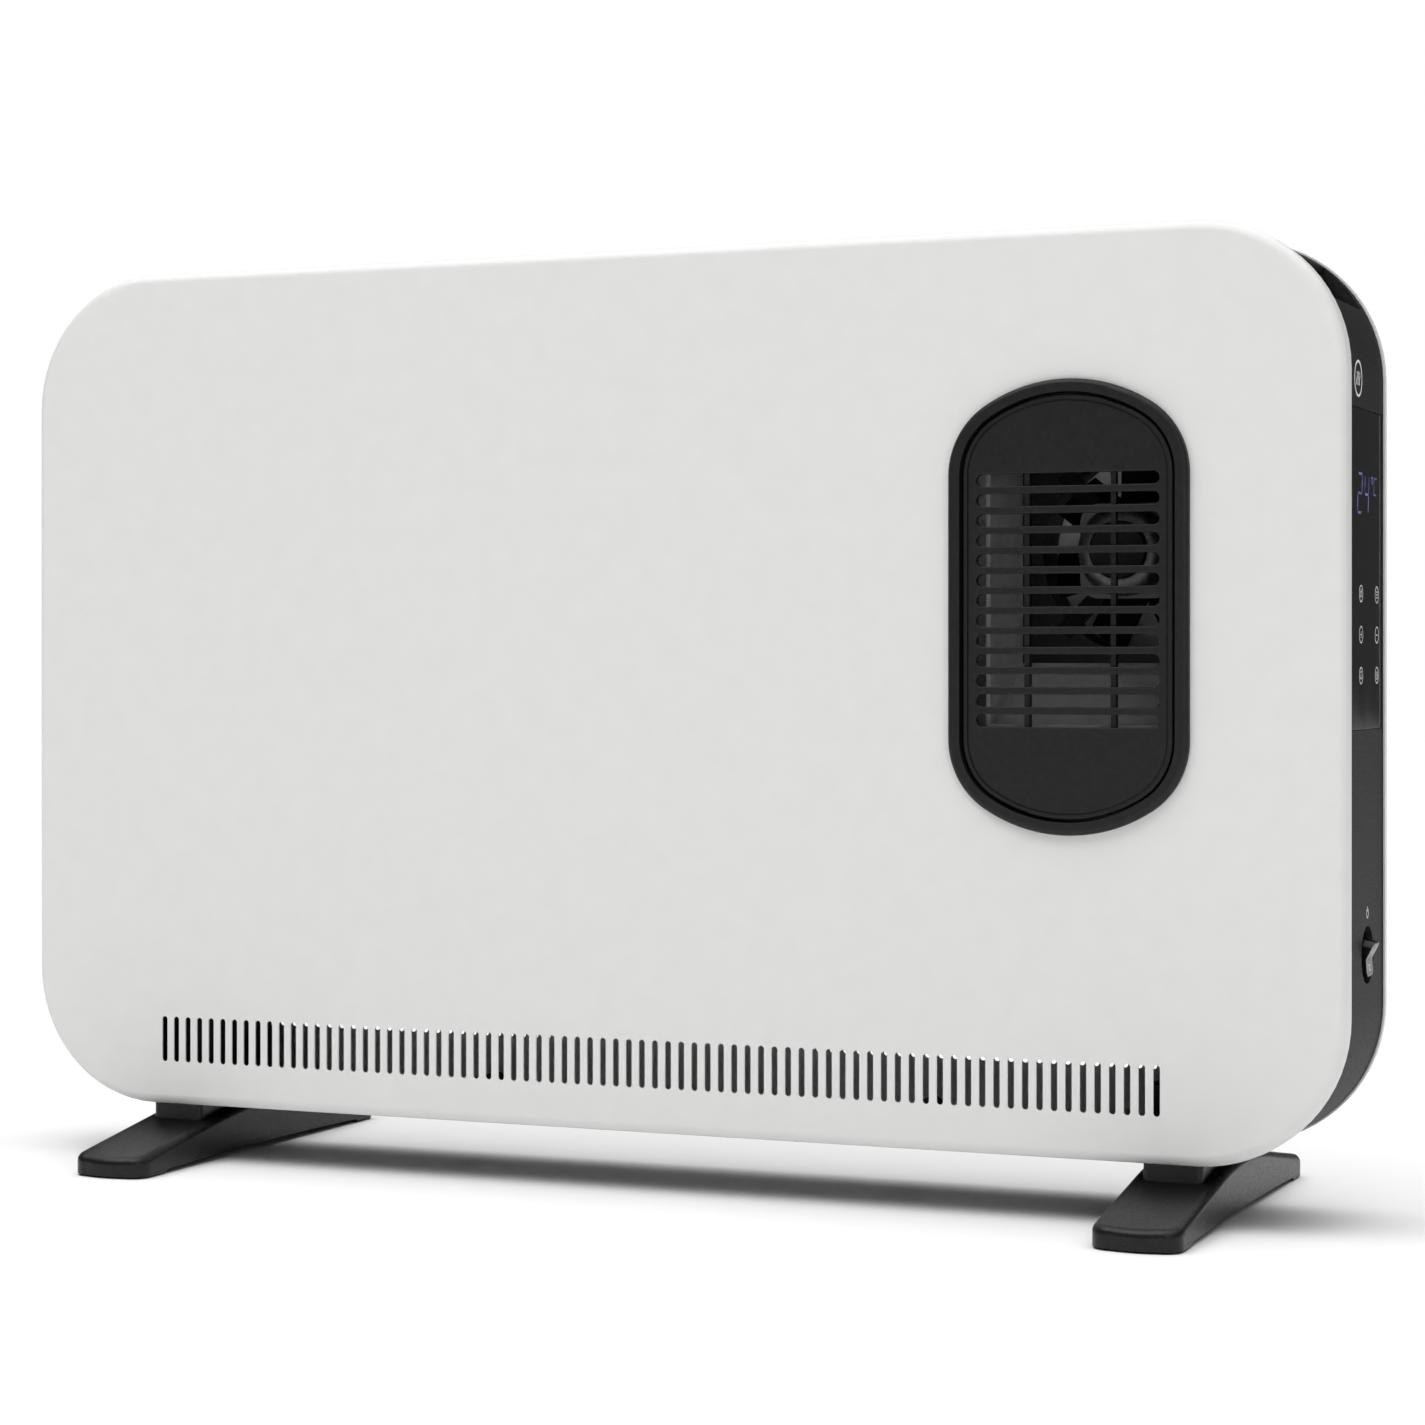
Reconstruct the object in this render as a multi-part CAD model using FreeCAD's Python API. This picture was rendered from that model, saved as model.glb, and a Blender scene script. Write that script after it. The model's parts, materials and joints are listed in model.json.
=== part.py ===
import FreeCAD, Part
import math
import os

# Fan convector heater, free standing on two feet.
# Millimetres. The origin is on the floor under the middle of the feet; the case stands
# a little in front of it.
# +X is the side with the controls, +Y is the back, +Z is up.

V = FreeCAD.Vector
X_AXIS, Y_AXIS, Z_AXIS = V(1, 0, 0), V(0, 1, 0), V(0, 0, 1)
SIDES = (-1, 1)

# Driving dimensions of the case
PANEL_WIDTH = 684.0
PANEL_HEIGHT = 425.0
CORNER_RADIUS = 68.0
BODY_DEPTH = 94.0
FRONT_TRAY_DEPTH = 13.0
REAR_TRAY_DEPTH = 7.2
FLOOR_GAP = 29.0
CASE_FORWARD = 15.0
SHEET = 0.8
FRONT_EDGE_RADIUS = 5.0
REAR_EDGE_RADIUS = 3.5
FRAME_INSET = 1.0
FRAME_WALL = 2.5
COLLAR_WALL = 1.7
SEAM = 0.5
END_FRAME_SPLIT = 240.0

# Driving dimensions of the vents
SLOT_COUNT = 77
SLOT_PITCH = 6.86
SLOT_WIDTH = 3.1
SLOT_LENGTH = 23.2
SLOT_HEIGHT = 33.5
SLOT_ROW_OFFSET = -4.0
REAR_SLOT_PITCH = 7.16
REAR_SLOT_COUNT = 73
REAR_SLOT_HEIGHT = 43.0
REAR_ROW_OFFSET = -6.2
TOP_SLOT_COUNT = 54
TOP_SLOT_PITCH = 8.6
TOP_SLOT_WIDTH = 5.0
BOTTOM_SLOT_COUNT = 32
BOTTOM_SLOT_PITCH = 14.0
RAIL_SLOT_MARGIN = 8.0

# Driving dimensions of the fan outlet
OUTLET_X = 215.3
OUTLET_Z = 251.6
OUTLET_HALF_WIDTH = 56.8
OUTLET_HALF_HEIGHT = 104.0
OUTLET_END_HEIGHT = 43.5
OUTLET_SHOULDER = 38.0
BEZEL_PROUD = 4.0
BEZEL_RIM = 6.0
GRILLE_PROUD = 2.6
GRILLE_SLOT_COUNT = 13
GRILLE_SLOT_PITCH = 9.18
GRILLE_SLOT_LENGTH = 86.4
GRILLE_SLOT_WIDTH = 5.8
GRILLE_SLOTS_RAISED = 3.2
SLOT_EDGE_RADIUS = 0.5
GRILLE_RIBS = (195.6, 236.4)

# Driving dimensions of the fan
FAN_X = 233.0
FAN_Z = 278.0
FAN_RADIUS = 46.0
FAN_BLADES = 7
SHAFT_RADIUS = 2.0
MOTOR_HALF = 22.0
DUCT_WALL = 2.0
DUCT_LEFT, DUCT_RIGHT = 173.0, 291.0
DUCT_LOW, DUCT_HIGH = 196.0, 338.0
DUCT_FRONT, DUCT_BACK = 10.0, 60.0
CAP_FRONT = 22.0
CAP_RADIUS = 21.5
COVER_RADIUS = 13.5
STATOR_FRONT, STATOR_BACK = 34.0, 52.0
ROTOR_RADIUS = 10.0
BUSH_RADIUS = 4.0
IMPELLER_FRONT, IMPELLER_BACK = 64.0, 81.0

# Driving dimensions of the heating elements
ELEMENT_HEIGHTS = (98.0, 146.0)
ELEMENT_DEPTH = 48.0
ELEMENT_LEFT, ELEMENT_RIGHT = -298.0, 278.0
ROD_RADIUS = 4.0
FIN_PITCH = 12.0
FIN_THICKNESS = 0.8
FIN_DEEP, FIN_TALL = 52.0, 34.0
SHIELD_DEPTH = 82.0
CUTOUT_X, CUTOUT_HEIGHT = 60.0, 182.0

# Driving dimensions of the controls
TOUCH_LOW, TOUCH_HIGH = 196.0, 341.0
TOUCH_FRONT, TOUCH_BACK = 19.0, 84.2
SWITCH_DEPTH = 52.0
SWITCH_HEIGHT = 93.5
SWITCH_RECESS = 13.2
ROCKER_TILT = 12.0
BOARD_THICKNESS = 1.6
PARTITION_X = 295.5
KEY_DEPTHS = (39.5, 74.5)
KEY_HEIGHTS = (220.5, 239.0, 257.5)
DISPLAY_FRONT, DISPLAY_BACK = 30.0, 78.0
DISPLAY_LOW, DISPLAY_HIGH = 288.0, 318.0
SWITCH_BODY = 11.2
ROCKER_RADIUS = 9.0

# Driving dimensions of the control compartment
GLAND_X, GLAND_HEIGHT = 309.0, 50.0
GLAND_NECK, GLAND_BORE = 6.0, 3.6
POWER_FRONT, POWER_BACK = 12.0, 84.0
POWER_LOW, POWER_HIGH = 112.0, 188.0
POWER_STANDOFF = 4.2
TERMINAL_BOX = (301.0, 329.0, 68.0, 82.0, 66.0, 82.0)
TERMINAL_PITCH = 9.0
TIP_BOX = (297.0, 313.0, 20.0, 50.0, 56.0, 82.0)
TIP_DEPTH = 35.0
TIP_PIVOT = 78.0
SENSOR_X, SENSOR_DEPTH = 230.0, 44.0

# Driving dimensions of the corner grips
GRIP_START, GRIP_END = 29.0, 52.0
GRIP_FRONT, GRIP_BACK = 16.5, 79.0
GRIP_REACH = 26.0

# Driving dimensions of the feet
FOOT_X = 262.0
FOOT_LENGTH = 244.0
FOOT_WIDTH = 41.0
FOOT_SLOPE = 9.2
FOOT_SHOULDER = 44.0
FOOT_CREST = 26.0
FOOT_EDGE_RADIUS = 4.0
FOOT_CORNER_RADIUS = 9.0
FOOT_BOW = 1.6
FOOT_HEEL = 24.0
FOOT_ARCH = 2.5
FOOT_CLEAR = 0.8
PAD_TOP = 2.3
PAD_LONG, PAD_WIDE, PAD_INSET = 26.0, 12.0, 13.0
NECK_WIDTH = 28.0
NECK_BASE_DEPTH, NECK_TOP_DEPTH = 80.0, 66.0
FOOT_SCREW_SPREAD = 36.0
FOOT_SCREW_SEAT = 11.0
SEAT_HALF = 16.5
SEAT_FRONT, SEAT_BACK = 20.0, 74.0
SEAT_TOPS = {-1: 50.0, 1: 33.0}
SEAT_WALL = 2.0
SCREW_RADIUS = 1.95

# Places that follow from the driving dimensions
CASE_Y = -CASE_FORWARD
FRONT = CASE_Y - BODY_DEPTH / 2
BAND_FRONT = FRONT_TRAY_DEPTH + SEAM
BAND_BACK = BODY_DEPTH - REAR_TRAY_DEPTH - SEAM
BAND_X = PANEL_WIDTH / 2 - FRAME_INSET
COLLAR_INSET = FRAME_INSET + FRAME_WALL + COLLAR_WALL
COLLAR_X = PANEL_WIDTH / 2 - COLLAR_INSET
CORNER_X = PANEL_WIDTH / 2 - CORNER_RADIUS
CORNER_HIGH = PANEL_HEIGHT - CORNER_RADIUS
BOSS_INSET = COLLAR_INSET + 3.5
FOOT_SCREW_PLACES = (CASE_Y - FOOT_SCREW_SPREAD / 2, CASE_Y + FOOT_SCREW_SPREAD / 2)
SWITCH_FLOOR_X = COLLAR_X
SWITCH_REAR_X = SWITCH_FLOOR_X - 20
ROCKER_PIVOT_X = SWITCH_FLOOR_X - 2.7
TOUCH_BOARD_X = COLLAR_X - 7
POWER_X = PARTITION_X + 0.8 + POWER_STANDOFF


def at(depth):
    """Y of a point this far behind the front face."""
    return FRONT + depth


def up(height):
    """Z of a point this far above the panel's lower edge."""
    return FLOOR_GAP + height


def box(x0, x1, d0, d1, h0, h1):
    """Block between two X values, two depths and two heights."""
    return Part.makeBox(x1 - x0, d1 - d0, h1 - h0, V(x0, at(d0), up(h0)))


def rod_x(x0, x1, depth, height, radius):
    return Part.makeCylinder(radius, x1 - x0, V(x0, at(depth), up(height)), X_AXIS)


def rod_y(x, d0, d1, height, radius):
    return Part.makeCylinder(radius, d1 - d0, V(x, at(d0), up(height)), Y_AXIS)


def rod_z(x, y, z0, z1, radius):
    return Part.makeCylinder(radius, z1 - z0, V(x, y, z0), Z_AXIS)


def prism(edges, direction):
    wire = Part.Wire([edge.toShape() for edge in edges])
    return Part.Face(wire).extrude(direction)


def rounded_block(x0, x1, d0, d1, h0, h1, radius):
    """Block whose four long edges, which run along Y, are round."""
    y, z0, z1 = at(d0), up(h0), up(h1)
    s = radius * (1 - math.sqrt(0.5))
    edges = [
        Part.LineSegment(V(x0 + radius, y, z0), V(x1 - radius, y, z0)),
        Part.Arc(V(x1 - radius, y, z0), V(x1 - s, y, z0 + s), V(x1, y, z0 + radius)),
        Part.LineSegment(V(x1, y, z0 + radius), V(x1, y, z1 - radius)),
        Part.Arc(V(x1, y, z1 - radius), V(x1 - s, y, z1 - s), V(x1 - radius, y, z1)),
        Part.LineSegment(V(x1 - radius, y, z1), V(x0 + radius, y, z1)),
        Part.Arc(V(x0 + radius, y, z1), V(x0 + s, y, z1 - s), V(x0, y, z1 - radius)),
        Part.LineSegment(V(x0, y, z1 - radius), V(x0, y, z0 + radius)),
        Part.Arc(V(x0, y, z0 + radius), V(x0 + s, y, z0 + s), V(x0 + radius, y, z0)),
    ]
    return prism(edges, V(0, d1 - d0, 0))


def case_block(inset, d0, d1):
    """Solid with the case's outline, this much smaller all round."""
    half = PANEL_WIDTH / 2 - inset
    top = PANEL_HEIGHT - inset
    return rounded_block(-half, half, d0, d1, inset, top, CORNER_RADIUS - inset)


def slot_upright(x, height, length, width, d0, d1):
    """Cutter for an upright slot with round ends."""
    y, r, half = at(d0), width / 2, length / 2 - width / 2
    low, high = up(height - half), up(height + half)
    edges = [
        Part.LineSegment(V(x + r, y, low), V(x + r, y, high)),
        Part.Arc(V(x + r, y, high), V(x, y, high + r), V(x - r, y, high)),
        Part.LineSegment(V(x - r, y, high), V(x - r, y, low)),
        Part.Arc(V(x - r, y, low), V(x, y, low - r), V(x + r, y, low)),
    ]
    return prism(edges, V(0, d1 - d0, 0))


def slot_level(x, height, length, width, d0, d1):
    """Cutter for a level slot with round ends."""
    y, z, r, half = at(d0), up(height), width / 2, length / 2 - width / 2
    edges = [
        Part.LineSegment(V(x - half, y, z - r), V(x + half, y, z - r)),
        Part.Arc(V(x + half, y, z - r), V(x + half + r, y, z), V(x + half, y, z + r)),
        Part.LineSegment(V(x + half, y, z + r), V(x - half, y, z + r)),
        Part.Arc(V(x - half, y, z + r), V(x - half - r, y, z), V(x - half, y, z - r)),
    ]
    return prism(edges, V(0, d1 - d0, 0))


def outlet_block(inset, d0, d1):
    """Solid with the fan outlet's outline: straight sides and ends of three tangent arcs."""
    spread = OUTLET_HALF_WIDTH - OUTLET_SHOULDER
    end, shoulder = OUTLET_END_HEIGHT, OUTLET_SHOULDER
    crown = (end**2 + spread**2 - shoulder**2) / (2 * (end - shoulder))
    drop = crown - end
    spring = OUTLET_HALF_HEIGHT - end
    turn = math.atan2(drop, spread)
    y = at(d0)

    def point(side, lift, cx, cz, radius, angle):
        x = OUTLET_X + side * (cx + radius * math.cos(angle))
        z = up(OUTLET_Z) + lift * (cz + radius * math.sin(angle))
        return V(x, y, z)

    r, big, half = shoulder - inset, crown - inset, OUTLET_HALF_WIDTH - inset
    edges = []
    for side, lift in ((1, 1), (-1, -1)):
        side_low = V(OUTLET_X + side * half, y, up(OUTLET_Z) - lift * spring)
        near = point(side, lift, spread, spring, r, 0)
        near_mid = point(side, lift, spread, spring, r, turn / 2)
        near_end = point(side, lift, spread, spring, r, turn)
        crown_mid = point(side, lift, 0, spring - drop, big, math.pi / 2)
        far_end = point(-side, lift, spread, spring, r, turn)
        far_mid = point(-side, lift, spread, spring, r, turn / 2)
        far = point(-side, lift, spread, spring, r, 0)
        edges.append(Part.LineSegment(side_low, near))
        edges.append(Part.Arc(near, near_mid, near_end))
        edges.append(Part.Arc(near_end, crown_mid, far_end))
        edges.append(Part.Arc(far_end, far_mid, far))
    return prism(edges, V(0, d1 - d0, 0))


def corner_sector(side, r0, r1, a0, a1, d0, d1):
    """Part of a ring round the top corner's centre, between two angles above level."""
    y, cx, cz = at(d0), CORNER_X, up(CORNER_HIGH)

    def point(radius, angle):
        turn = math.radians(angle)
        return V(side * (cx + radius * math.cos(turn)), y, cz + radius * math.sin(turn))

    middle = (a0 + a1) / 2
    edges = [
        Part.LineSegment(point(r0, a0), point(r1, a0)),
        Part.Arc(point(r1, a0), point(r1, middle), point(r1, a1)),
        Part.LineSegment(point(r1, a1), point(r0, a1)),
        Part.Arc(point(r0, a1), point(r0, middle), point(r0, a0)),
    ]
    return prism(edges, V(0, d1 - d0, 0))


def edges_at_depth(shape, depth):
    """Edges that lie wholly in the plane at this depth."""
    y = at(depth)
    return [e for e in shape.Edges if abs(e.BoundBox.YMin - y) + abs(e.BoundBox.YMax - y) < 0.01]


def boss_places():
    """X and height of the ten screw bosses."""
    low_turn = math.radians(-45)
    reach = CORNER_RADIUS - BOSS_INSET
    places = []
    for side in SIDES:
        corner_x = CORNER_X + reach * math.cos(low_turn)
        corner_h = CORNER_RADIUS + reach * math.sin(low_turn)
        places.append((side * corner_x, corner_h))
        places.append((side * (PANEL_WIDTH / 2 - BOSS_INSET), 150.0))
        places.append((side * (END_FRAME_SPLIT + 14), PANEL_HEIGHT - BOSS_INSET))
        places.append((side * 120.0, PANEL_HEIGHT - BOSS_INSET))
        places.append((side * 120.0, BOSS_INSET))
    return places


def bosses(chosen):
    """Posts from front to back, with a hole at each end."""
    posts = []
    for x, height in chosen:
        post = rod_y(x, 2.0, BODY_DEPTH - 2.6, height, 4.5)
        post = post.cut(rod_y(x, 1.0, 14.0, height, SCREW_RADIUS))
        post = post.cut(rod_y(x, BODY_DEPTH - 22, BODY_DEPTH, height, SCREW_RADIUS + 0.05))
        posts.append(post)
    return posts


def in_end_frame(side, place):
    return side * place[0] > END_FRAME_SPLIT


def front_panel():
    """Pressed sheet tray with a row of slots, the outlet opening and welded studs."""
    outer = case_block(0, 0, FRONT_TRAY_DEPTH)
    outer = outer.makeFillet(FRONT_EDGE_RADIUS, edges_at_depth(outer, 0))
    inner = case_block(SHEET, SHEET, FRONT_TRAY_DEPTH + 5)
    inner = inner.makeFillet(FRONT_EDGE_RADIUS - SHEET, edges_at_depth(inner, SHEET))
    tray = outer.cut(inner)
    start = SLOT_ROW_OFFSET - SLOT_PITCH * (SLOT_COUNT - 1) / 2
    cutters = [outlet_block(BEZEL_RIM - 2, -1, 5)]
    for k in range(SLOT_COUNT):
        x = start + k * SLOT_PITCH
        cutters.append(slot_upright(x, SLOT_HEIGHT, SLOT_LENGTH, SLOT_WIDTH, -1, 5))
    tray = tray.cut(Part.makeCompound(cutters))
    studs = [rod_y(x, SHEET - 0.4, 12.0, h, SCREW_RADIUS - 0.1) for x, h in boss_places()]
    return tray.fuse(studs)


def rear_panel():
    """Shallow sheet tray that closes the back, with its own slot row and screw holes."""
    start_depth = BODY_DEPTH - REAR_TRAY_DEPTH
    outer = case_block(0, start_depth, BODY_DEPTH)
    outer = outer.makeFillet(REAR_EDGE_RADIUS, edges_at_depth(outer, BODY_DEPTH))
    inner = case_block(SHEET, start_depth - 5, BODY_DEPTH - SHEET)
    inner = inner.makeFillet(REAR_EDGE_RADIUS - SHEET, edges_at_depth(inner, BODY_DEPTH - SHEET))
    tray = outer.cut(inner)
    start = REAR_ROW_OFFSET - REAR_SLOT_PITCH * (REAR_SLOT_COUNT - 1) / 2
    d0, d1 = BODY_DEPTH - 5, BODY_DEPTH + 1
    cutters = [rod_y(GLAND_X, d0, d1, GLAND_HEIGHT, GLAND_NECK + 0.1)]
    for k in range(REAR_SLOT_COUNT):
        x = start + k * REAR_SLOT_PITCH
        cutters.append(slot_upright(x, REAR_SLOT_HEIGHT, SLOT_LENGTH, SLOT_WIDTH, d0, d1))
    for x, height in boss_places():
        cutters.append(rod_y(x, d0, d1, height, SCREW_RADIUS + 0.35))
    return tray.cut(Part.makeCompound(cutters))


def panel_screws():
    """Pan-head screws through the rear panel into the bosses."""
    screws = []
    for x, height in boss_places():
        head = rod_y(x, BODY_DEPTH, BODY_DEPTH + 2.4, height, 3.8)
        head = head.makeFillet(1.2, edges_at_depth(head, BODY_DEPTH + 2.4))
        screw = head.fuse(rod_y(x, BODY_DEPTH - 16, BODY_DEPTH + 0.1, height, SCREW_RADIUS))
        for long_x, long_h in ((2.2, 0.45), (0.45, 2.2)):
            drive = box(
                x - long_x, x + long_x,
                BODY_DEPTH + 1.2, BODY_DEPTH + 3,
                height - long_h, height + long_h,
            )
            screw = screw.cut(drive)
        screws.append(screw)
    return Part.makeCompound(screws)


def band_ring():
    """The moulded band round the case with the collar that reaches into both trays."""
    inner = FRAME_INSET + FRAME_WALL
    band = case_block(FRAME_INSET, BAND_FRONT, BAND_BACK)
    band = band.cut(case_block(inner, BAND_FRONT - 1, BAND_BACK + 1))
    collar = case_block(inner, 4.0, BODY_DEPTH - 3)
    collar = collar.cut(case_block(COLLAR_INSET, 3.0, BODY_DEPTH))
    return band.fuse(collar)


def end_frame(side):
    """C-shaped end of the band, with the grip opening, the bosses and the foot's seat."""
    x0, x1 = sorted((side * END_FRAME_SPLIT, side * (PANEL_WIDTH / 2 + 1)))
    keep = box(x0, x1, -1, BODY_DEPTH + 1, -1, PANEL_HEIGHT + 1)
    frame = band_ring().common(keep)
    frame = frame.fuse(bosses([p for p in boss_places() if in_end_frame(side, p)]))
    frame = frame.fuse(foot_seat(side))
    seat_top = up(COLLAR_INSET) + 14
    for y in FOOT_SCREW_PLACES:
        post = rod_z(side * FOOT_X, y, up(COLLAR_INSET) - 1, seat_top, 5.5)
        frame = frame.fuse(post)
    for y in FOOT_SCREW_PLACES:
        hole = rod_z(side * FOOT_X, y, FLOOR_GAP - 1, seat_top - 1.5, SCREW_RADIUS + 0.05)
        frame = frame.cut(hole)
    opening = corner_sector(
        side, CORNER_RADIUS - COLLAR_INSET - 2, CORNER_RADIUS + 2,
        GRIP_START, GRIP_END, GRIP_FRONT, GRIP_BACK,
    )
    return frame.cut(opening)


def foot_seat(side):
    """Square tower inside the end frame that spreads the foot's load."""
    x, half, wall, low = side * FOOT_X, SEAT_HALF, SEAT_WALL, COLLAR_INSET - 1
    top = SEAT_TOPS[side]
    tower = box(x - half, x + half, SEAT_FRONT, SEAT_BACK, low, top)
    hollow = box(
        x - half + wall, x + half - wall, SEAT_FRONT + wall, SEAT_BACK - wall, low - 1, top + 1
    )
    return tower.cut(hollow)


def right_end_frame():
    """Control end: adds the touch panel's recess, the board posts and the switch recess."""
    frame = end_frame(1)
    recess = box(
        BAND_X - 2.3, BAND_X + 2, TOUCH_FRONT - 0.15, TOUCH_BACK + 0.15,
        TOUCH_LOW - 0.15, TOUCH_HIGH + 0.15,
    )
    window = box(
        COLLAR_X - 2, BAND_X, TOUCH_FRONT + 5, TOUCH_BACK - 5,
        TOUCH_LOW + 8, TOUCH_HIGH - 8,
    )
    frame = frame.cut(recess).cut(window)
    for depth, height in board_corners():
        post = rod_x(TOUCH_BOARD_X + BOARD_THICKNESS, COLLAR_X + 0.5, depth, height, 2.6)
        pilot = rod_x(TOUCH_BOARD_X, COLLAR_X - 1.0, depth, height, 1.05)
        frame = frame.fuse(post).cut(pilot)
    floor = rod_x(SWITCH_FLOOR_X - 2, SWITCH_FLOOR_X + 1, SWITCH_DEPTH, SWITCH_HEIGHT, 16)
    frame = frame.fuse(floor)
    frame = frame.cut(
        rod_x(SWITCH_FLOOR_X, BAND_X + 2, SWITCH_DEPTH, SWITCH_HEIGHT, SWITCH_RECESS)
    )
    body_hole = rod_x(
        SWITCH_FLOOR_X - 4, SWITCH_FLOOR_X + 1, SWITCH_DEPTH, SWITCH_HEIGHT, SWITCH_BODY + 0.1
    )
    return frame.cut(body_hole)


def rail(top):
    """Straight vented stretch of the band, along the top or under the case."""
    half = END_FRAME_SPLIT - 0.3
    low, high = (PANEL_HEIGHT - FRAME_INSET - FRAME_WALL, PANEL_HEIGHT - FRAME_INSET)
    count, pitch, width = TOP_SLOT_COUNT, TOP_SLOT_PITCH, TOP_SLOT_WIDTH
    if not top:
        low, high = FRAME_INSET, FRAME_INSET + FRAME_WALL
        count, pitch = BOTTOM_SLOT_COUNT, BOTTOM_SLOT_PITCH
    plate = box(-half, half, BAND_FRONT, BAND_BACK, low, high)
    lip_low, lip_high = (low - COLLAR_WALL, low) if top else (high, high + COLLAR_WALL)
    front_lip = box(-half, half, 4.0, BAND_FRONT + 5, lip_low, lip_high)
    back_lip = box(-half, half, BAND_BACK - 5, BODY_DEPTH - 3, lip_low, lip_high)
    plate = plate.fuse([front_lip, back_lip])
    cutters = []
    for k in range(count):
        x = (k - (count - 1) / 2) * pitch
        d0, d1 = BAND_FRONT + RAIL_SLOT_MARGIN, BAND_BACK - RAIL_SLOT_MARGIN
        r = width / 2
        shaft = box(x - r, x + r, d0 + r, d1 - r, low - 1, high + 1)
        ends = [rod_z(x, at(d), up(low - 1), up(high + 1), r) for d in (d0 + r, d1 - r)]
        cutters.append(shaft.fuse(ends))
    plate = plate.cut(Part.makeCompound(cutters))
    inner = [p for p in boss_places() if abs(p[0]) < END_FRAME_SPLIT]
    chosen = [p for p in inner if (p[1] > PANEL_HEIGHT / 2) == top]
    return plate.fuse(bosses(chosen))


def grip_cup(side):
    """Finger pocket behind the corner opening."""
    r1 = CORNER_RADIUS - COLLAR_INSET
    r0 = r1 - GRIP_REACH
    outer = corner_sector(
        side, r0, r1, GRIP_START - 5, GRIP_END + 5, GRIP_FRONT - 2, GRIP_BACK + 2
    )
    hollow = corner_sector(
        side, r0 + 2, r1 + 5, GRIP_START, GRIP_END, GRIP_FRONT, GRIP_BACK
    )
    return outer.cut(hollow)


def foot_profile(x):
    """Side outline of a foot: heels on the floor, an arch between them and a sloping top."""
    half, heel = FOOT_LENGTH / 2, FOOT_LENGTH / 2 - FOOT_HEEL
    slope = math.radians(FOOT_SLOPE)
    crest_radius = FOOT_SHOULDER / math.sin(slope)
    shoulder_z = FOOT_CREST - crest_radius * (1 - math.cos(slope))
    end_z = shoulder_z - (half - FOOT_SHOULDER) * math.tan(slope)

    def corner(y, z):
        return V(x, y, z)

    edges = []
    for turn in (1, -1):
        top_end, low_end = corner(turn * half, end_z), corner(turn * half, FOOT_CLEAR)
        heel_end = corner(turn * heel, FOOT_CLEAR)
        arch_end = corner(turn * (heel - 1.5), FOOT_CLEAR + 1.2)
        edges.append(Part.LineSegment(corner(turn * FOOT_SHOULDER, shoulder_z), top_end))
        edges.append(Part.LineSegment(top_end, low_end))
        edges.append(Part.LineSegment(low_end, heel_end))
        edges.append(Part.LineSegment(heel_end, arch_end))
    arch_y = heel - 1.5
    arch = [corner(y, z) for y, z in (
        (-arch_y, FOOT_CLEAR + 1.2), (0, FOOT_CLEAR + FOOT_ARCH), (arch_y, FOOT_CLEAR + 1.2)
    )]
    crest = [corner(y, z) for y, z in (
        (-FOOT_SHOULDER, shoulder_z), (0, FOOT_CREST), (FOOT_SHOULDER, shoulder_z)
    )]
    edges.append(Part.Arc(*arch))
    edges.append(Part.Arc(*crest))
    return edges


def foot(side):
    """Long foot that rises to a round crest, with a neck that carries the case."""
    x, half_w = side * FOOT_X, FOOT_WIDTH / 2
    ordered = Part.__sortEdges__([edge.toShape() for edge in foot_profile(x - half_w)])
    bar = Part.Face(Part.Wire(ordered)).extrude(V(FOOT_WIDTH, 0, 0))
    bar = bar.common(foot_plan(x, 0, FLOOR_GAP))
    top_edges = [e for e in bar.Edges if e.BoundBox.ZMin > FOOT_CLEAR + FOOT_ARCH + 1]
    bar = bar.makeFillet(FOOT_EDGE_RADIUS, top_edges)
    step = FLOOR_GAP - 0.6
    neck_base = neck_block(x, NECK_BASE_DEPTH, FOOT_SCREW_SEAT, step)
    neck_top = neck_block(x, NECK_TOP_DEPTH, step - 1, up(FRAME_INSET))
    solid = bar.fuse([neck_base, neck_top])
    for y in FOOT_SCREW_PLACES:
        solid = solid.cut(rod_z(x, y, 0, FOOT_SCREW_SEAT, 5.0))
        solid = solid.cut(rod_z(x, y, 0, FLOOR_GAP + 5, SCREW_RADIUS + 0.3))
    for y in pad_places():
        solid = solid.cut(pad(x, y, FOOT_CLEAR - 0.1, PAD_TOP))
    return solid.removeSplitter()


def foot_plan(x, z0, z1):
    """Upright prism with the foot's plan: straight sides, round corners, bowed ends."""
    half_w, half_l, r = FOOT_WIDTH / 2, FOOT_LENGTH / 2, FOOT_CORNER_RADIUS
    s = r * (1 - math.sqrt(0.5))
    end = half_l - FOOT_BOW
    edges = []
    for turn in (1, -1):
        a = V(x + turn * half_w, -turn * (end - r), z0)
        b = V(x + turn * half_w, turn * (end - r), z0)
        c = V(x + turn * (half_w - s), turn * (end - s), z0)
        d = V(x + turn * (half_w - r), turn * end, z0)
        nose = V(x, turn * half_l, z0)
        f = V(x - turn * (half_w - r), turn * end, z0)
        g = V(x - turn * (half_w - s), turn * (end - s), z0)
        h = V(x - turn * half_w, turn * (end - r), z0)
        edges.append(Part.LineSegment(a, b))
        edges.append(Part.Arc(b, c, d))
        edges.append(Part.Arc(d, nose, f))
        edges.append(Part.Arc(f, g, h))
    return prism(edges, V(0, 0, z1 - z0))


def neck_block(x, depth, z0, z1):
    """Upright block with round edges, one step of the neck between foot and case."""
    corner = V(x - NECK_WIDTH / 2, CASE_Y - depth / 2, z0)
    block = Part.makeBox(NECK_WIDTH, depth, z1 - z0, corner)
    upright = [e for e in block.Edges if e.BoundBox.ZLength > 1]
    return block.makeFillet(3.0, upright)


def pad_places():
    """Y of the pads under the ends of a foot."""
    return (-FOOT_LENGTH / 2 + PAD_INSET, FOOT_LENGTH / 2 - PAD_INSET)


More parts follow.
